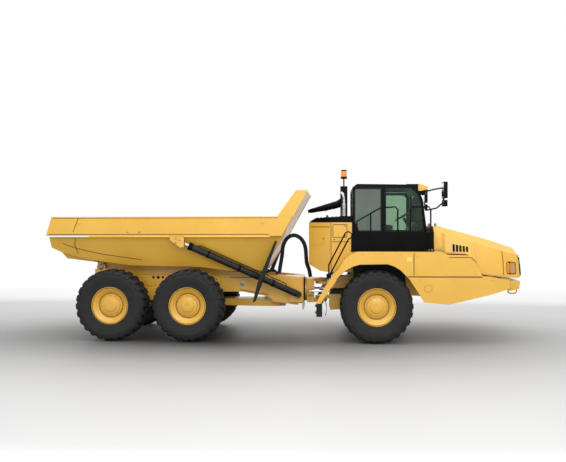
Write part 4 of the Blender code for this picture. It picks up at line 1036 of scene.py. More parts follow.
@dataclass
class Underframe(Part):
    """Pins, holes, pipes and rings on the rear frame, hitch and cylinders."""

    def build(self) -> None:
        """Dresses the frame, the hitch and the hoist cylinders."""
        self.both_sides("gusset_holes", "rear_frame", GASKET_AND_HOLE_SHADE, self.draw_gusset_holes)
        self.both_sides("beam_pin_caps", "rear_frame", ZINC, self.draw_pins, smooth=30)
        self.both_sides("beam_fold_shade", "rear_frame", SEAM_AND_FOLD_SHADE, self.draw_beam_shade_lines)
        self.both_sides("hoist_pipe", "hoist_barrel_{}", SATIN, self.draw_pipe)
        self.both_sides("hoist_collars", "hoist_barrel_{}", BLACK, self.draw_collars, smooth=30)
        self.both_sides("hoist_foot_cap", "rear_frame", SATIN, self.draw_foot_clevis, smooth=30, bevel=0.006)
        self.ring()
        self.small_hoses()

    def draw_gusset_holes(self, shell: Shell, side: Side) -> None:
        """Three lightening holes above the bogie, drawn as dark dished discs of painted shade.

        Args:
            shell: the shell that takes it.
            side: the side of the truck.
        """
        for x, z, size in ((-5.06, 1.345, 0.030), (-4.95, 1.345, 0.038), (-4.84, 1.345, 0.030)):
            corners = [(x - size, z - size), (x + size, z - size), (x + size, z + size), (x - size, z + size)]
            self.panels.plate(shell, ("rear_frame",), corners, side.word, lift=0.0015, fullness=0.02, steps=6)

    def draw_pins(self, shell: Shell, side: Side) -> None:
        """Bolt heads round the bogie pivot and along the front of the beam.

        Args:
            shell: the shell that takes it.
            side: the side of the truck.
        """
        spots = [(-3.00, 1.20), (-3.60, 1.30), (-3.60, 1.12), (-2.45, 1.30), (-2.30, 1.30), (-2.15, 1.30)]
        hits, normals = self.panels.drop(("rear_frame",), np.array(spots), side.word)
        shell.bolts(hits, normals, 0.020, 0.014)
        shell.bolts(hits[:1], normals[:1], 0.055, 0.010, sides=24)

    def draw_beam_shade_lines(self, shell: Shell, side: Side) -> None:
        """Painted shade along the fold where the beam's web meets its lower flange."""
        self.panels.seam(shell, ("rear_frame",), [(-3.05, 1.065), (-2.40, 0.955)], side.word)
        self.panels.seam(shell, ("rear_frame",), [(-2.42, 1.345), (-3.30, 1.345)], side.word)

    def cylinder_line(self, side: Side) -> tuple[np.ndarray, np.ndarray]:
        """The hoist cylinder's foot and head pins.

        Args:
            side: the side of the truck.
        Returns:
            The foot and the head.
        """
        foot = np.array(self.at(-1.70, side.value * 0.70, 0.98))
        head = np.array(self.at(-4.20, side.value * 1.29, 2.15))
        return foot, head

    def draw_pipe(self, shell: Shell, side: Side) -> None:
        """The thin oil pipe along the top of the barrel, bent in at both ends.

        Args:
            shell: the shell that takes it.
            side: the side of the truck.
        """
        foot, head = self.cylinder_line(side)
        way = (head - foot) / np.linalg.norm(head - foot)
        up = np.cross(way, np.cross((0, 0, 1.0), way))
        up /= np.linalg.norm(up)
        stations = [(0.34, 0.070), (0.36, 0.105), (0.42, 0.108), (2.40, 0.108), (2.47, 0.105), (2.50, 0.070)]
        shell.tube(np.array([foot + way * t + up * h for t, h in stations]), 0.011, 10)

    def draw_collars(self, shell: Shell, side: Side) -> None:
        """Pipe clamps and the gland nut, rings a little proud of the barrel.

        Args:
            shell: the shell that takes it.
            side: the side of the truck.
        """
        foot, head = self.cylinder_line(side)
        way = (head - foot) / np.linalg.norm(head - foot)
        rings = ((0.62, 0.04, 0.083), (1.45, 0.045, 0.084), (2.20, 0.04, 0.083), (2.60, 0.085, 0.086))
        for start, length, radius in rings:
            ends = np.array([start, start + 0.006, start + length - 0.006, start + length])
            shell.tube(foot + way * ends[:, None], np.array([radius - 0.005, radius, radius, radius - 0.005]), 28)

    def draw_foot_clevis(self, shell: Shell, side: Side) -> None:
        """The clevis plate outside the cylinder's lower eye.

        Args:
            shell: the shell that takes it.
            side: the side of the truck.
        """
        x, y, z = self.at(-1.76, side.value * 0.600, 0.98)
        inner, outer = sorted((y, y - side.value * 0.02))
        shell.block((x - 0.13, inner, z - 0.13), (x + 0.13, outer, z + 0.13))

    def ring(self) -> None:
        """The dark seal and light wear ring where the two halves of the hitch turn."""
        rings = (("hitch_seal", (-1.5945, -1.570), GASKET_AND_HOLE_SHADE), ("hitch_wear_ring", (-1.568, -1.540), YELLOW))
        for name, reach, finish in rings:
            outline = [(0.262, reach[0] + 1.6), (0.278, reach[0] + 1.601), (0.278, reach[1] + 1.599),
                       (0.262, reach[1] + 1.6)]
            shell = Shell().turned(outline, self.at(-1.6, 0, 1.05), axis="X", sides=64, closed=True)
            shell.piece(name, "hitch", finish, smooth=30)
        angle = np.linspace(0, 2 * math.pi, 14, endpoint=False) + 0.2
        seats = np.stack([np.full(14, -1.515), 0.238 * np.cos(angle), 1.05 + 0.238 * np.sin(angle)], -1)
        seats[:, 0] += self.panels.datum
        inside = (np.abs(seats[:, 1]) > 0.32) | (np.abs(seats[:, 2] - 1.04) > 0.28)
        if inside.any():
            Shell().bolts(seats[inside], (1, 0, 0), 0.014, 0.012).piece("hitch_bolts", "hitch", ZINC, smooth=30)

    def small_hoses(self) -> None:
        """Thin hoses that follow the bundle's foot along the frame and stay on it."""
        shell = Shell()
        for offset, rise in ((0.0, 0.0), (0.045, 0.03), (0.09, 0.0)):
            route = [(-2.20, -0.34 + offset, 1.37), (-2.24, -0.36 + offset, 1.47 + rise),
                     (-2.34, -0.36 + offset, 1.49 + rise), (-2.48, -0.35 + offset, 1.44 + rise / 2),
                     (-2.60, -0.34 + offset, 1.385)]
            knots = np.array([self.at(*p) for p in route])
            t = np.linspace(0, len(knots) - 1, 34)
            path = np.stack([np.interp(t, np.arange(len(knots)), knots[:, k]) for k in range(3)], -1)
            for _ in range(4):
                path[1:-1] = (path[:-2] + 2 * path[1:-1] + path[2:]) / 4
            shell.tube(path, 0.014, 10)
        shell.piece("frame_hoses", "rear_frame", HOSE, smooth=60)


@dataclass
class Deck(Part):
    """Fender trim, lamps, steps and skirts of the tractor. Lengths are in metres from the front axle."""

    vent: tuple[float, float] = (1.075, 1.195)
    vent_radius: float = 0.078
    marker: tuple[float, float] = (0.68, 1.805)
    arch_shade_y: float = 0.8325

    def build(self) -> None:
        """Lays seams, the vent, reflectors, treads and step rungs."""
        self.both_sides("fender_seams", "front_frame", SEAM_AND_FOLD_SHADE, self.draw_seams)
        self.both_sides("fender_vent_holes", "front_frame", GASKET_AND_HOLE_SHADE, self.draw_vent)
        self.both_sides("side_reflectors", "front_frame", YELLOW_LENS, self.draw_reflectors, smooth=30)
        self.both_sides("deck_tread", "front_frame", SATIN, self.draw_tread, smooth=30)
        self.both_sides("step_rungs", "front_frame", BLACK, self.draw_rungs, smooth=30, bevel=0.004)
        self.both_sides("step_flap", "front_frame", SHEET_RUBBER_AND_ARCH_SHADE, self.draw_flap, smooth=30)
        self.both_sides("step_box_cover", "front_frame", SHEET_RUBBER_AND_ARCH_SHADE, self.draw_step_cover, smooth=30, bevel=0.01)
        self.both_sides("arch_shade_sheet", "front_frame", SHEET_RUBBER_AND_ARCH_SHADE, self.draw_arch_shade, smooth=40)
        self.both_sides("rail_foot", "front_frame", BLACK, self.draw_rail_foot, smooth=30, bevel=0.006)
        self.both_sides("deck_bolts", "front_frame", ZINC, self.draw_bolts, smooth=30)

    def names(self, side: Side) -> tuple[str, ...]:
        """The outer panels of one side."""
        return (f"fender_{side.word}", f"skirt_{side.word}")

    def draw_seams(self, shell: Shell, side: Side) -> None:
        """The joints between fender, side panel, skirt and hood.

        Args:
            shell: the shell that takes it.
            side: the side of the truck.
        """
        names = self.names(side)
        self.panels.seam(shell, names, [(0.775, 1.95), (0.775, 1.47)], side.word)
        self.panels.seam(shell, names, [(0.66, 1.44), (2.20, 1.44)], side.word, 0.016)
        hood_joint = [(1.50, 1.855), (1.965, 1.855), (2.20, 1.638), (2.295, 1.45)]
        self.panels.seam(shell, names, hood_joint, side.word, 0.013)

    def draw_vent(self, shell: Shell, side: Side) -> None:
        """A ring of small drain holes round a plug in the skirt, each a dark stud of painted shade.

        Args:
            shell: the shell that takes it.
            side: the side of the truck.
        """
        angle = np.linspace(0, 2 * math.pi, 10, endpoint=False) + 0.2
        circle = np.stack([np.cos(angle), np.sin(angle)], -1)
        spots = np.array(self.vent) + self.vent_radius * circle
        hits, normals = self.panels.drop(self.names(side), spots, side.word)
        shell.bolts(hits, normals, 0.0095, 0.0015, sides=8)

    def draw_reflectors(self, shell: Shell, side: Side) -> None:
        """The pale yellow side marker on the fender.

        Args:
            shell: the shell that takes it.
            side: the side of the truck.
        """
        x, z = self.marker
        corners = [(x - 0.055, z - 0.045), (x + 0.055, z - 0.045), (x + 0.055, z + 0.045), (x - 0.055, z + 0.045)]
        self.panels.plate(shell, self.names(side), corners, side.word, lift=0.006, fullness=0.6, steps=8, crown=0.003)

    def draw_tread(self, shell: Shell, side: Side) -> None:
        """Grip studs on the walkway, a grid of low round buttons.

        Args:
            shell: the shell that takes it.
            side: the side of the truck.
        """
        x, y = np.meshgrid(np.arange(-0.30, 0.75, 0.06), np.arange(0.92, 1.34, 0.06), indexing="ij")
        seats = np.stack([x.ravel() + self.panels.datum, side.value * y.ravel(), np.full(x.size, 1.975)], -1)
        shell.bolts(seats, (0, 0, 1), 0.013, 0.004, sides=8)

    def draw_rungs(self, shell: Shell, side: Side) -> None:
        """Toothed rungs across the step box.

        Args:
            shell: the shell that takes it.
            side: the side of the truck.
        """
        for z in (0.66, 0.80):
            y = sorted((side.value * 1.13, side.value * 1.39))
            shell.block(self.at(-1.315, y[0], z - 0.012), self.at(-1.275, y[1], z + 0.012))

    def draw_flap(self, shell: Shell, side: Side) -> None:
        """The splash flap that hangs ahead of the steps, gently bowed.

        Args:
            shell: the shell that takes it.
            side: the side of the truck.
        """
        u = np.linspace(0, 1, 9)
        y = np.linspace(1.22, 1.39, 5) * side.value
        x = -1.10 + 0.03 * np.sin(u * math.pi)
        z = 0.90 - 0.30 * u
        front = np.stack([np.repeat(x[:, None], 5, 1), np.repeat(y[None], 9, 0), np.repeat(z[:, None], 5, 1)], -1)
        front[..., 0] += self.panels.datum
        back = front + (0.010, 0, 0)
        loop = np.concatenate([front, back[:, ::-1]], 1)
        shell.grid(loop, wrap_v=True, caps=True)

    def draw_step_cover(self, shell: Shell, side: Side) -> None:
        """The rubber block that the steps are moulded in."""
        y = sorted((side.value * 1.114, side.value * 1.406))
        shell.block(self.at(-1.286, y[0], 0.575), self.at(-1.164, y[1], 0.868))

    def draw_arch_shade(self, shell: Shell, side: Side) -> None:
        """A black sheet of painted shade in the wheel arch: the inner wall, and a strip carried along the arch's
        underside.

        Args:
            shell: the shell that takes it.
            side: the side of the truck.
        """
        wall = [(-0.49, 1.13), (-0.49, 1.695), (0.23, 1.722), (0.365, 1.672), (0.49, 1.605), (0.65, 1.445),
                (0.69, 1.13)]
        y = side.value * self.arch_shade_y
        ring = np.array([self.at(x, y, z) for x, z in wall])
        shell.grid(np.stack([ring, ring + (0, side.value * 0.003, 0)]), wrap_v=True, caps=True)
        under = np.array([(-0.97, 1.19), (-0.815, 1.435), (-0.665, 1.564), (-0.535, 1.643), (-0.362, 1.692),
                          (0.228, 1.702), (0.364, 1.652), (0.492, 1.573), (0.605, 1.457)])
        inner_y = np.full(len(under), side.value * 0.875)
        inner = np.stack([under[:, 0] + self.panels.datum, inner_y, under[:, 1]], -1)
        outer = inner + (0, side.value * 0.525, 0)
        drop = np.array((0, 0, -0.004))
        shell.grid(np.stack([inner, outer, outer + drop, inner + drop], 1), wrap_v=True, caps=True)

    def draw_rail_foot(self, shell: Shell, side: Side) -> None:
        """The black foot bracket of the stair rails."""
        y = sorted((side.value * 1.352, side.value * 1.418))
        shell.block(self.at(-1.07, y[0], 1.40), self.at(-0.97, y[1], 1.50))

    def draw_bolts(self, shell: Shell, side: Side) -> None:
        """Panel screws along the fender's outer face.

        Args:
            shell: the shell that takes it.
            side: the side of the truck.
        """
        spots = [(-0.86, 1.40), (-0.60, 1.80), (-0.30, 1.92), (0.10, 1.92), (0.50, 1.92), (0.86, 1.86), (0.86, 1.50),
                 (1.45, 1.50), (2.05, 1.50), (0.90, 1.38), (1.60, 1.38), (2.40, 1.38)]
        hits, normals = self.panels.drop(self.names(side), np.array(spots), side.word)
        shell.bolts(hits, normals, 0.010, 0.006)


@dataclass
class Nose(Part):
    """Hood trim: seams, louvres, grille, headlamps and the bumper's fittings."""

    lamp: tuple[tuple[float, float], ...] = ((2.815, 1.49), (3.00, 1.49), (3.00, 1.715), (2.825, 1.73))
    marker_width: float = 0.048
    lens_start: float = 0.06

    def build(self) -> None:
        """Lays everything that moves with the hood, then the bumper's bolts."""
        self.both_sides("hood_seams", "hood", SEAM_AND_FOLD_SHADE, self.draw_seams)
        self.both_sides("louvre_slots", "hood", GASKET_AND_HOLE_SHADE, self.draw_louvres)
        self.both_sides("nose_edge", "hood", GASKET_AND_HOLE_SHADE, self.draw_nose_edge)
        self.both_sides("tow_loop", "front_frame", YELLOW, self.draw_tow_loop, smooth=50)
        self.both_sides("headlamp_bezel", "hood", BLACK, self.draw_bezel, smooth=30)
        self.both_sides("headlamp_lens", "hood", SHADED_LAMP_COVER, self.draw_lens, smooth=30)
        self.both_sides("indicator_lens", "hood", AMBER, self.draw_indicator, smooth=30)
        self.grille()
        self.both_sides("bumper_bolts", "front_frame", ZINC, self.draw_bumper_bolts, smooth=30)
        self.both_sides("hood_grab", "hood", BLACK, self.draw_grab, smooth=50)

    def draw_seams(self, shell: Shell, side: Side) -> None:
        """The joint between the hood's side and its front corner."""
        self.panels.seam(shell, ("hood",), [(2.715, 1.99), (2.735, 1.75), (2.735, 1.45)], side.word)

    def draw_louvres(self, shell: Shell, side: Side) -> None:
        """Five upright slots in the hood's cheek, the tops falling towards the nose, each a dark plate of painted
        shade.

        Args:
            shell: the shell that takes it.
            side: the side of the truck.
        """
        for k in range(5):
            x, top = 1.665 + 0.068 * k, 2.125 - 0.012 * k
            corners = [(x, 1.955), (x + 0.050, 1.955), (x + 0.050, top - 0.008), (x, top)]
            self.panels.plate(shell, ("hood",), corners, side.word, lift=0.0025, fullness=0.7, steps=6)

    def draw_nose_edge(self, shell: Shell, side: Side) -> None:
        """The black surround of the grille, carried round the nose's corner."""
        self.panels.seam(shell, ("hood",), [(3.085, 1.88), (3.108, 1.74), (3.115, 1.45)], side.word, 0.036, 0.003)

    def lamp_corners(self, grow: float) -> list:
        """The headlamp's corners, moved out from its middle by grow metres.

        Args:
            grow: how far out, in metres.
        Returns:
            Four (x, z) corners.
        """
        drawn = np.array(self.lamp)
        middle = drawn.mean(0)
        away = drawn - middle
        return (middle + away * (1 + grow / np.linalg.norm(away, axis=1)[:, None])).tolist()

    def draw_bezel(self, shell: Shell, side: Side) -> None:
        """The lamp's black surround."""
        self.panels.plate(shell, ("hood",), self.lamp_corners(0.022), side.word, lift=0.004, fullness=0.75, steps=10)

    def draw_lens(self, shell: Shell, side: Side) -> None:
        """The lamp cover, slightly domed, coloured with the painted shade of its bowl.

        Args:
            shell: the shell that takes it.
            side: the side of the truck.
        """
        corners = self.lamp_corners(0.0)
        corners[0][0] += self.lens_start
        corners[3][0] += self.lens_start
        self.panels.plate(shell, ("hood",), corners, side.word, lift=0.008, fullness=0.7, steps=10, crown=0.006)

    def draw_indicator(self, shell: Shell, side: Side) -> None:
        """The amber lamp behind the headlamp, in the same surround.

        Args:
            shell: the shell that takes it.
            side: the side of the truck.
        """
        corners = self.lamp_corners(0.0)
        corners[1][0] = corners[0][0] + self.marker_width
        corners[2][0] = corners[3][0] + self.marker_width
        self.panels.plate(shell, ("hood",), corners, side.word, lift=0.008, fullness=0.7, steps=8, crown=0.003)

    def grille(self) -> None:
        """The black grille on the nose: a backing plate and bars across it, laid on the hood's front."""
        backing = Shell()
        self.panels.plate(backing, ("hood",), [(-0.83, 1.475), (0.83, 1.475), (0.68, 1.745), (-0.68, 1.745)], "front",
                          lift=0.003, fullness=0.93, steps=14)
        backing.piece("grille_backing", "hood", GASKET_AND_HOLE_SHADE, smooth=30)
        bars = Shell()
        for k in range(8):
            z = 1.495 + 0.033 * k
            half = 0.79 - (z - 1.475) * 0.55
            self.panels.seam(bars, ("hood",), [(-half, z), (half, z)], "front", 0.014, 0.009)
        for y in (-0.52, -0.26, 0.0, 0.26, 0.52):
            self.panels.seam(bars, ("hood",), [(y, 1.49), (y, 1.735)], "front", 0.012, 0.010)
        bars.piece("grille_bars", "hood", BLACK, smooth=30)

    def draw_tow_loop(self, shell: Shell, side: Side) -> None:
        """The bent bar hung below the cross-beam.

        Args:
            shell: the shell that takes it.
            side: the side of the truck.
        """
        y = side.value * 0.78
        line = [(2.885, 1.16), (2.885, 1.085), (2.90, 1.055), (2.93, 1.043), (3.02, 1.043), (3.05, 1.055),
                (3.065, 1.085), (3.065, 1.16)]
        shell.tube(np.array([self.at(x, y, z) for x, z in line]), 0.015, 14)

    def draw_bumper_bolts(self, shell: Shell, side: Side) -> None:
        """Bolts along the cross-beam's face.

        Args:
            shell: the shell that takes it.
            side: the side of the truck.
        """
        spots = [(side.value * y, 1.27) for y in (0.18, 0.56, 0.78, 0.96)]
        hits, normals = self.panels.drop(("bumper",), np.array(spots), "front")
        shell.bolts(hits, normals, 0.019, 0.014)

    def draw_grab(self, shell: Shell, side: Side) -> None:
        """The bent grab rail at the hood's rear shoulder.

        Args:
            shell: the shell that takes it.
            side: the side of the truck.
        """
        drawn = np.array([(1.36, side.value * 0.60), (1.36, side.value * 0.40)])
        feet, _ = self.panels.drop(("hood",), drawn, "top")
        up = np.array((0.0, 0.0, 0.055))
        path = np.array([feet[0] - up * 0.1, feet[0] + up * 0.8, feet[0] * 0.85 + feet[1] * 0.15 + up,
                         feet[0] * 0.15 + feet[1] * 0.85 + up, feet[1] + up * 0.8, feet[1] - up * 0.1])
        shell.tube(path, 0.011, 12)


@dataclass
class Cab(Part):
    """Cab trim: window gaskets, lamp cap, roof lamps, wiper, mirrors, seat and controls."""

    mirror_x: float = 1.368
    rib_lines: tuple[float, ...] = (0.18, 0.42, 0.66)

    def build(self) -> None:
        """Dresses the cab outside and in."""
        self.gaskets()
        self.lamp_cap()
        self.both_sides("roof_lamp_body", "front_frame", BLACK, self.draw_roof_lamp, smooth=30, bevel=0.006)
        self.both_sides("roof_lamp_lens", "front_frame", CLEAR, self.draw_roof_lens, smooth=30)
        self.both_sides("mirror_glass", "front_frame", MIRROR, self.draw_mirror, smooth=30)
        self.both_sides("roof_ribs", "front_frame", BLACK, self.draw_roof_ribs, smooth=40)
        self.wiper()
        self.door_fittings()
        self.seat()
        self.wheel_grip()

    def gaskets(self) -> None:
        """Rubber seals round the side windows, each a strip along the glass's edge."""
        rear = [(-0.44, 2.62), (-0.36, 2.42), (0.12, 2.42), (0.12, 3.34), (-0.44, 3.34), (-0.44, 2.62)]
        front = [(0.24, 2.42), (1.06, 2.42), (0.98, 3.07), (0.90, 3.24), (0.76, 3.34), (0.24, 3.34), (0.24, 2.42)]
        for word, outlines in (("right", (rear, front)), ("left", (rear,))):
            shell = Shell()
            for outline in outlines:
                line = np.array(outline)
                middle = line[:-1].mean(0)
                self.panels.seam(shell, ("cab_shell",), (middle + (line - middle) * 1.035).tolist(), word, 0.022, 0.004)
            shell.piece(f"window_seal_{word}", "front_frame", GASKET_AND_HOLE_SHADE, smooth=30)

    def lamp_cap(self) -> None:
        """The yellow cap over the front edge of the roof, a shell that follows the visor."""
        profile = np.array([(0.955, 3.300), (1.020, 3.298), (1.168, 3.332), (1.168, 3.386), (0.985, 3.4575),
                            (0.955, 3.4575)])
        y = np.array([-0.700, -0.694, 0.694, 0.700])
        keep = np.array([0.985, 1.0, 1.0, 0.985])
        middle = profile.mean(0)
        rows = [np.stack([(middle + (profile - middle) * k)[:, 0] + self.panels.datum, np.full(len(profile), v),
                          (middle + (profile - middle) * k)[:, 1]], -1) for v, k in zip(y * 1.006, keep)]
        Shell().grid(np.stack(rows), wrap_v=True, caps=True).piece("roof_lamp_cap", "front_frame", YELLOW, smooth=30)

    def draw_roof_lamp(self, shell: Shell, side: Side) -> None:
        """The lamp's housing under the cap."""
        y = sorted((side.value * 0.36, side.value * 0.60))
        shell.block(self.at(1.03, y[0], 3.215), self.at(1.135, y[1], 3.318))

    def draw_roof_lens(self, shell: Shell, side: Side) -> None:
        """Its round lens, a shallow dome turned about the truck's length.

        Args:
            shell: the shell that takes it.
            side: the side of the truck.
        """
        for middle in (0.42, 0.54):
            shell.turned([(0.0, 0.012), (0.02, 0.011), (0.038, 0.006), (0.046, 0.0), (0.046, -0.004), (0.0, -0.004)],
                         self.at(1.137, side.value * middle, 3.266), axis="X", sides=28)

    def draw_mirror(self, shell: Shell, side: Side) -> None:
        """The mirror's glass, facing back towards the driver.

        Args:
            shell: the shell that takes it.
            side: the side of the truck.
        """
        x = self.at(self.mirror_x, 0, 0)[0]
        edge = rim_order(11)
        for z, half_z, half_y in ((3.27, 0.150, 0.118), (2.995, 0.050, 0.098)):
            corners = [(-half_y, -half_z), (half_y, -half_z), (half_y, half_z), (-half_y, half_z)]
            grid = rounded_grid(np.array(corners), 0.8, 10)
            face = np.concatenate([np.full(grid.shape[:2] + (1,), x), grid + (side.value * 1.44, z)], -1)
            back = face + (0.004, 0, 0)
            rim = np.stack([face.reshape(-1, 3)[edge], back.reshape(-1, 3)[edge]])
            shell.grid(face).grid(back).grid(rim, wrap_v=True)

    def draw_roof_ribs(self, shell: Shell, side: Side) -> None:
        """Three pressed ribs along each half of the roof.

        Args:
            shell: the shell that takes it.
            side: the side of the truck.
        """
        for y in self.rib_lines:
            line = [(-0.34, side.value * y), (0.66, side.value * y)]
            self.panels.seam(shell, ("cab_shell",), line, "top", 0.05, 0.007)

    def wiper(self) -> None:
        """The windscreen wiper: arm, blade and pivot on the glass."""
        drawn = np.array([(-0.05, 2.44), (-0.02, 2.62), (0.05, 2.95)])
        hits, normals = self.panels.drop(("windscreen", "cab_shell"), drawn, "front")
        lifted = hits + normals * 0.018
        Shell().tube(lifted, 0.008, 8).bolts(hits[:1], normals[:1], 0.022, 0.026, sides=16).piece(
            "wiper_arm", "front_frame", BLACK, smooth=40)
        drawn = np.stack([np.linspace(0.02, 0.09, 9), np.linspace(2.66, 3.15, 9)], -1)
        hits, normals = self.panels.drop(("windscreen", "cab_shell"), drawn, "front")
        Shell().tube(hits + normals * 0.008, 0.006, 8).piece("wiper_blade", "front_frame", GASKET_AND_HOLE_SHADE, smooth=40)

    def door_fittings(self) -> None:
        """The door's seam and handle on the left."""
        shell = Shell()
        outline = [(0.86, 2.40), (0.30, 2.40), (0.30, 3.28), (0.80, 3.28), (0.88, 3.20), (0.88, 2.40)]
        self.panels.seam(shell, ("cab_door",), outline, "left", 0.020, 0.003)
        shell.piece("door_seal", "cab_door", GASKET_AND_HOLE_SHADE, smooth=30)
        hits, normals = self.panels.drop(("cab_door",), np.array([(0.84, 2.30), (0.70, 2.30)]), "left")
        up = normals[0] * 0.045
        path = np.array([hits[0] - up * 0.1, hits[0] + up * 0.8, hits[0] * 0.8 + hits[1] * 0.2 + up,
                         hits[0] * 0.2 + hits[1] * 0.8 + up, hits[1] + up * 0.8, hits[1] - up * 0.1])
        Shell().tube(path, 0.010, 12).piece("door_handle", "cab_door", ZINC, smooth=50)

    def seat(self) -> None:
        """The driver's seat: base cushion, back and head rest, each a crowned pad in the space of its solid.

        A pad is a superellipsoid: a ball whose sines and cosines are raised to a small power, so it is a box with
        full, rounded sides; a shallow groove is drawn in at each sewn channel.
        """
        low, high = (np.array(c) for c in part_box("seat"))
        width = high[1] - low[1]
        middle = (low[1] + high[1]) / 2
        depth, height = high[0] - low[0], high[2] - low[2]
        back_x = low[0] + depth * 0.20
        pads = (("seat_cushion", (low[0] + depth * 0.56, middle, low[2] + height * 0.14),
                 (depth * 0.43, width * 0.47, height * 0.11)),
                ("seat_back", (back_x, middle, low[2] + height * 0.52), (depth * 0.16, width * 0.45, height * 0.33)),
                ("head_rest", (back_x - 0.01, middle, low[2] + height * 0.915),
                 (depth * 0.11, width * 0.28, height * 0.075)))
        for name, centre, half in pads:
            u = np.linspace(-math.pi / 2, math.pi / 2, 29)[:, None]
            v = np.linspace(-math.pi, math.pi, 56, endpoint=False)[None, :]

            def power(value: np.ndarray, to: float) -> np.ndarray:
                """Keeps the sign and raises the size to a power."""
                return np.sign(value) * np.abs(value) ** to

            x = power(np.cos(u), 0.35) * power(np.cos(v), 0.4)
            y = power(np.cos(u), 0.35) * power(np.sin(v), 0.4)
            z = power(np.sin(u), 0.45) * np.ones_like(v)
            channel = 1 - 0.035 * np.exp(-((np.abs(y) - 0.55) / 0.05) ** 2)
            grid = np.stack([x * half[0] * channel, y * half[1], z * half[2] * channel], -1) + np.array(centre)
            shell = Shell().grid(grid, wrap_v=True, caps=True)
            item = shell.piece(name, "front_frame", CLOTH, smooth=60)
        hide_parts("seat")

    def wheel_grip(self) -> None:
        """The hub cap on the steering wheel, square to its tilted column."""
        low, high = (np.array(c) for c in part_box("steering_wheel"))
        centre = (low + high) / 2
        axis = np.array((-0.502, 0.0, 0.865))
        Shell().bolts(centre[None] + axis * 0.012, axis, 0.032, 0.014, sides=28).piece(
            "steering_hub_cap", "steering_wheel", SATIN, smooth=40)


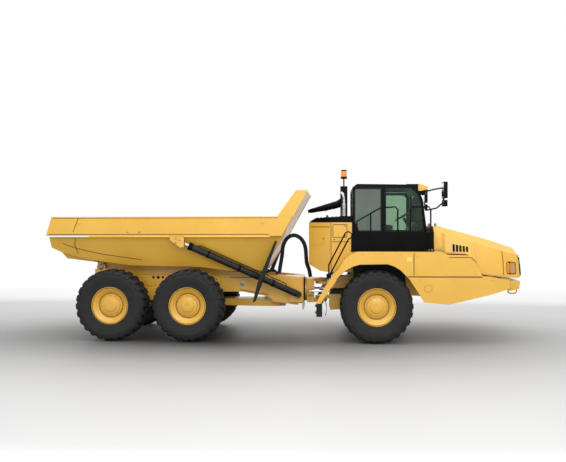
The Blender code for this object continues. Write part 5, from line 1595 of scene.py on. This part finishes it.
@dataclass
class ServiceBox(Part):
    """The box behind the cab with its hatch, louvred lid, intake, exhaust shield and beacon."""

    beacon_at: tuple[float, float] = (-0.68, -0.45)
    stack_at: tuple[float, float] = (-0.68, -0.70)
    lid_x: tuple[float, ...] = (-1.45, -1.32, -0.5)
    lid_z: tuple[float, ...] = (2.62, 2.70, 2.745)

    def build(self) -> None:
        """Dresses the box and what stands on it."""
        self.both_sides("box_seams", "front_frame", SEAM_AND_FOLD_SHADE, self.draw_seams)
        self.both_sides("box_hatch", "front_frame", YELLOW, self.draw_hatch, smooth=40)
        self.both_sides("box_latches", "front_frame", BLACK, self.draw_latches, smooth=30)
        self.lid()
        self.beacon()
        self.shield()
        self.intake()

    def draw_seams(self, shell: Shell, side: Side) -> None:
        """The door outlines on the box's side.

        Args:
            shell: the shell that takes it.
            side: the side of the truck.
        """
        names = ("compartment",)
        upright = [(-0.97, 2.585), (-0.97, 1.53)]
        door = [(-0.93, 2.27), (-0.62, 2.27), (-0.62, 2.55), (-0.93, 2.55), (-0.93, 2.27)]
        for line in (upright, door, [(-0.95, 2.17), (-0.56, 2.17)], [(-1.44, 2.50), (-1.00, 2.50)]):
            self.panels.seam(shell, names, line, side.word)

    def draw_hatch(self, shell: Shell, side: Side) -> None:
        """The rounded hatch on the box's slanting corner."""
        corners = [(-1.385, 2.11), (-1.115, 2.11), (-1.115, 2.36), (-1.385, 2.36)]
        self.panels.plate(shell, ("compartment",), corners, side.word, lift=0.012, fullness=0.72, steps=12, flat=True)

    def draw_latches(self, shell: Shell, side: Side) -> None:
        """Turn latches and hinges as low round studs.

        Args:
            shell: the shell that takes it.
            side: the side of the truck.
        """
        spots = [(-1.14, 2.24), (-0.66, 2.30), (-0.66, 2.52), (-0.90, 2.22)]
        hits, normals = self.panels.drop(("compartment",), np.array(spots), side.word)
        shell.bolts(hits + normals * 0.008, normals, 0.014, 0.010, sides=14)

    def lid(self) -> None:
        """Slats across the black lid and its lifting knob, set on the lid's slope by height at each place."""
        shell = Shell()
        for k in range(8):
            x = -1.28 + 0.085 * k
            height = float(np.interp(x, self.lid_x, self.lid_z))
            half = min(0.80, 0.58 + max(x - self.lid_x[0], 0.0) * 0.5) - 0.03
            shell.block(self.at(x - 0.016, -half, height - 0.006), self.at(x + 0.016, half, height + 0.011))
        shell.piece("lid_slats", "front_frame", BLACK, smooth=30, bevel=0.004)
        seat = np.array([self.at(-1.06, -0.60, 2.716)])
        Shell().bolts(seat, (0, 0, 1), 0.022, 0.05, sides=18).piece("lid_knob", "front_frame", BLACK, smooth=40)

    def beacon(self) -> None:
        """The amber warning beacon: a dome over a black foot, turned about the upright."""
        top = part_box("air_duct")[1][2]
        centre = self.at(*self.beacon_at, 0.0)
        dome = [(0.0, top - 0.156), (0.0670, top - 0.155), (0.0675, top - 0.06), (0.064, top - 0.028),
                (0.052, top - 0.006), (0.030, top + 0.001), (0.0, top + 0.0015)]
        lens = Shell().turned(dome, centre, axis="Z", sides=48)
        lens.piece("beacon_lens", "front_frame", AMBER, smooth=40)
        foot = [(0.0, top - 0.20), (0.072, top - 0.20), (0.074, top - 0.17), (0.071, top - 0.152), (0.0, top - 0.152)]
        Shell().turned(foot, centre, axis="Z", sides=48).piece("beacon_foot", "front_frame", BLACK, smooth=30)

    def shield(self) -> None:
        """The bright heat shield round the stack: a tube with rows of slots drawn as dark studs of painted shade, and
        two bands.
        """
        centre = self.at(*self.stack_at, 0.0)
        z = np.linspace(2.78, 2.99, 7)
        angle = np.linspace(0, 2 * math.pi, 16, endpoint=False)
        a, h = np.meshgrid(angle, z, indexing="ij")
        outward_way = np.stack([np.cos(a).ravel(), np.sin(a).ravel(), np.zeros(a.size)], -1)
        seats = np.array(centre) + outward_way * 0.0605 + np.stack([0 * h.ravel(), 0 * h.ravel(), h.ravel()], -1)
        slots = Shell().bolts(seats, outward_way, 0.0085, 0.0025, sides=8)
        slots.piece("shield_slots", "front_frame", GASKET_AND_HOLE_SHADE, smooth=30)
        bands = Shell()
        for low in (2.755, 3.000):
            outline = [(0.060, low), (0.0665, low + 0.001), (0.0665, low + 0.017), (0.060, low + 0.018)]
            bands.turned(outline, centre, axis="Z", sides=40, closed=True)
        bands.piece("shield_bands", "front_frame", STAINLESS, smooth=30)

    def intake(self) -> None:
        """Clamp bands round the tapered intake."""
        knots = np.array([self.at(*p) for p in ((-1.42, -0.28, 2.87), (-1.10, -0.34, 2.94), (-0.82, -0.42, 3.01))])
        shell = Shell()
        for share, radius in ((0.10, 0.056), (1.0, 0.0805), (1.65, 0.0865)):
            k = int(share)
            way = knots[k + 1] - knots[k] if k < 2 else knots[2] - knots[1]
            way /= np.linalg.norm(way)
            spot = knots[k] + (knots[min(k + 1, 2)] - knots[k]) * (share - k)
            ends = np.array([-0.012, -0.010, 0.010, 0.012])[:, None]
            shell.tube(spot + way * ends, np.array([radius - 0.01, radius, radius, radius - 0.01]), 28)
        shell.piece("intake_clamps", "front_frame", BLACK, smooth=30)


# ---------------------------------------------------------------- studio
@dataclass
class Studio:
    """Pale floor with a painted shadow under the truck, soft overhead and side light, and the camera."""

    datum: float
    eye: tuple[float, float, float] = (-0.96, -15.60, 2.54)
    yaw: float = math.radians(4.18)
    pitch: float = math.radians(-0.50)
    roll: float = math.radians(0.10)
    lens: float = 42.23
    floor_reach: float = 60.0
    # The floor's painted shadow: its tone against distance from the truck, where 1 is 16 m across it and 41.6 m along
    # it.
    floor_across: float = 16.0
    floor_along: float = 41.6
    floor_shadow_tones: tuple[tuple[float, float], ...] = (
        (0.0, 0.02), (0.04, 0.05), (0.075, 0.14), (0.1125, 0.21), (0.1625, 0.30), (0.2375, 0.39), (0.32, 0.45),
        (0.45, 0.50), (0.49, 0.60), (0.56, 0.70))

    def camera(self) -> None:
        """Sets the camera beside the truck, looking at its right side, a little above its middle."""
        data = bpy.data.cameras.new("side_view")
        data.lens, data.sensor_width, data.sensor_fit = self.lens, 36.0, "HORIZONTAL"
        data.clip_end = 200.0
        item = bpy.data.objects.new("side_view", data)
        bpy.context.scene.collection.objects.link(item)
        item.location = (self.eye[0] + self.datum, self.eye[1], self.eye[2])
        item.rotation_euler = Euler((math.pi / 2 + self.pitch, self.roll, self.yaw), "XYZ")
        bpy.context.scene.camera = item

    def floor(self) -> None:
        """A wide floor just under the tyres, carrying the painted shadow."""
        far, level = self.floor_reach, -MILLIMETRE
        mesh = bpy.data.meshes.new("studio_floor")
        mesh.from_pydata([(-far, -far, level), (far, -far, level), (far, far, level), (-far, far, level)], [],
                         [(0, 1, 2, 3)])
        item = bpy.data.objects.new("studio_floor", mesh)
        bpy.context.scene.collection.objects.link(item)
        mesh.materials.append(self.floor_shadow_finish())

    def floor_shadow_finish(self) -> bpy.types.Material:
        """Floor paint with a painted shadow: grey where the truck stands, paling to white with distance from it.

        Returns:
            The material.
        """
        made = STUDIO_FLOOR.material()
        tree = made.node_tree
        place = add_node(tree, "ShaderNodeTexCoord").outputs["Object"]
        # The oval of painted shadow has its middle 1.5 m behind the frame's and 0.9 m towards the right side.
        oval = add_node(tree, "ShaderNodeMapping", {"Vector": place, "Location": (0.036, 0.056, 0.0),
                                                    "Scale": (1 / self.floor_along, 1 / self.floor_across, 1.0)})
        reach = add_node(tree, "ShaderNodeVectorMath", {0: oval.outputs["Vector"]}, operation="LENGTH")
        tone = ramp(tree, reach.outputs["Value"], [(at, grey(value)) for at, value in self.floor_shadow_tones])
        shader = next(n for n in tree.nodes if n.type == "BSDF_PRINCIPLED")
        tree.links.new(tone, shader.inputs["Base Color"])
        glow = add_node(tree, "ShaderNodeMapRange",
                        {"Value": reach.outputs["Value"], "From Min": 0.5, "From Max": 0.8})
        sky = add_node(tree, "ShaderNodeEmission", {"Color": grey(1.0), "Strength": 1.0})
        mix = add_node(tree, "ShaderNodeMixShader",
                       {0: glow.outputs["Result"], 1: shader.outputs[0], 2: sky.outputs[0]})
        output = next(n for n in tree.nodes if n.type == "OUTPUT_MATERIAL")
        tree.links.new(mix.outputs[0], output.inputs["Surface"])
        return made

    def light(self, name: str, place: tuple, aim: tuple, size: tuple, power: float) -> None:
        """Adds one soft box.

        Args:
            name: its name.
            place: where it hangs.
            aim: the point it faces.
            size: its width and height.
            power: its power in watts.
        """
        data = bpy.data.lights.new(name, "AREA")
        data.shape, data.size, data.size_y, data.energy = "RECTANGLE", size[0], size[1], power
        item = bpy.data.objects.new(name, data)
        bpy.context.scene.collection.objects.link(item)
        item.location = place
        item.rotation_euler = (Vector(aim) - Vector(place)).to_track_quat("-Z", "Y").to_euler()

    def build(self) -> None:
        """Hangs the lights and lays the floor under a near-white sky."""
        self.floor()
        self.light("overhead", (0.0, -3.0, 11.0), (0.0, 0.0, 0.5), (14.0, 8.0), 900.0)
        self.light("camera_side", (2.0, -14.0, 7.5), (0.0, 0.0, 1.2), (12.0, 5.0), 860.0)
        self.light("far_side", (-2.0, 13.0, 7.0), (0.0, 0.0, 1.5), (12.0, 5.0), 380.0)
        world = bpy.data.worlds.new("pale_room")
        world.use_nodes = True
        background = next(n for n in world.node_tree.nodes if n.type == "BACKGROUND")
        background.inputs["Color"].default_value = linear("FFFFFF")
        background.inputs["Strength"].default_value = 1.0
        bpy.context.scene.world = world
        bpy.context.scene.view_settings.view_transform = "Standard"


def dress_nodes(frame: dict) -> None:
    """Gives every CAD node the finish of its material slot.
    """
    slots = {row["node"]: row["material_slot"] for row in frame["record"]["subparts"]}
    for name, item in frame["nodes"].items():
        item.data.materials.clear()
        finish = PRIVACY_GLASS if name in ("glass_right_rear", "glass_left_rear") else FINISH_OF_SLOT[slots[name]]
        item.data.materials.append(finish.material())
        item.data.polygons.foreach_set("material_index", [0] * len(item.data.polygons))


def main() -> None:
    """Loads the frame, sets the camera, then builds each sub-assembly in order."""
    logging.basicConfig(level=logging.INFO, format="%(name)s: %(message)s")
    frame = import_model()
    low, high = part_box("tyre_front_right")
    datum = (low[0] + high[0]) / 2
    panels = Panels(frame["nodes"], datum)
    studio = Studio(datum)
    studio.camera()
    Hose(panels).build()
    dress_nodes(frame)
    for axle in ("front", "mid", "rear"):
        for side in Side:
            Wheel(axle, side).build()
    for part in (Tub, Underframe, Deck, Nose, Cab, ServiceBox):
        part(panels).build()
    studio.build()


if __name__ == "__main__":
    main()
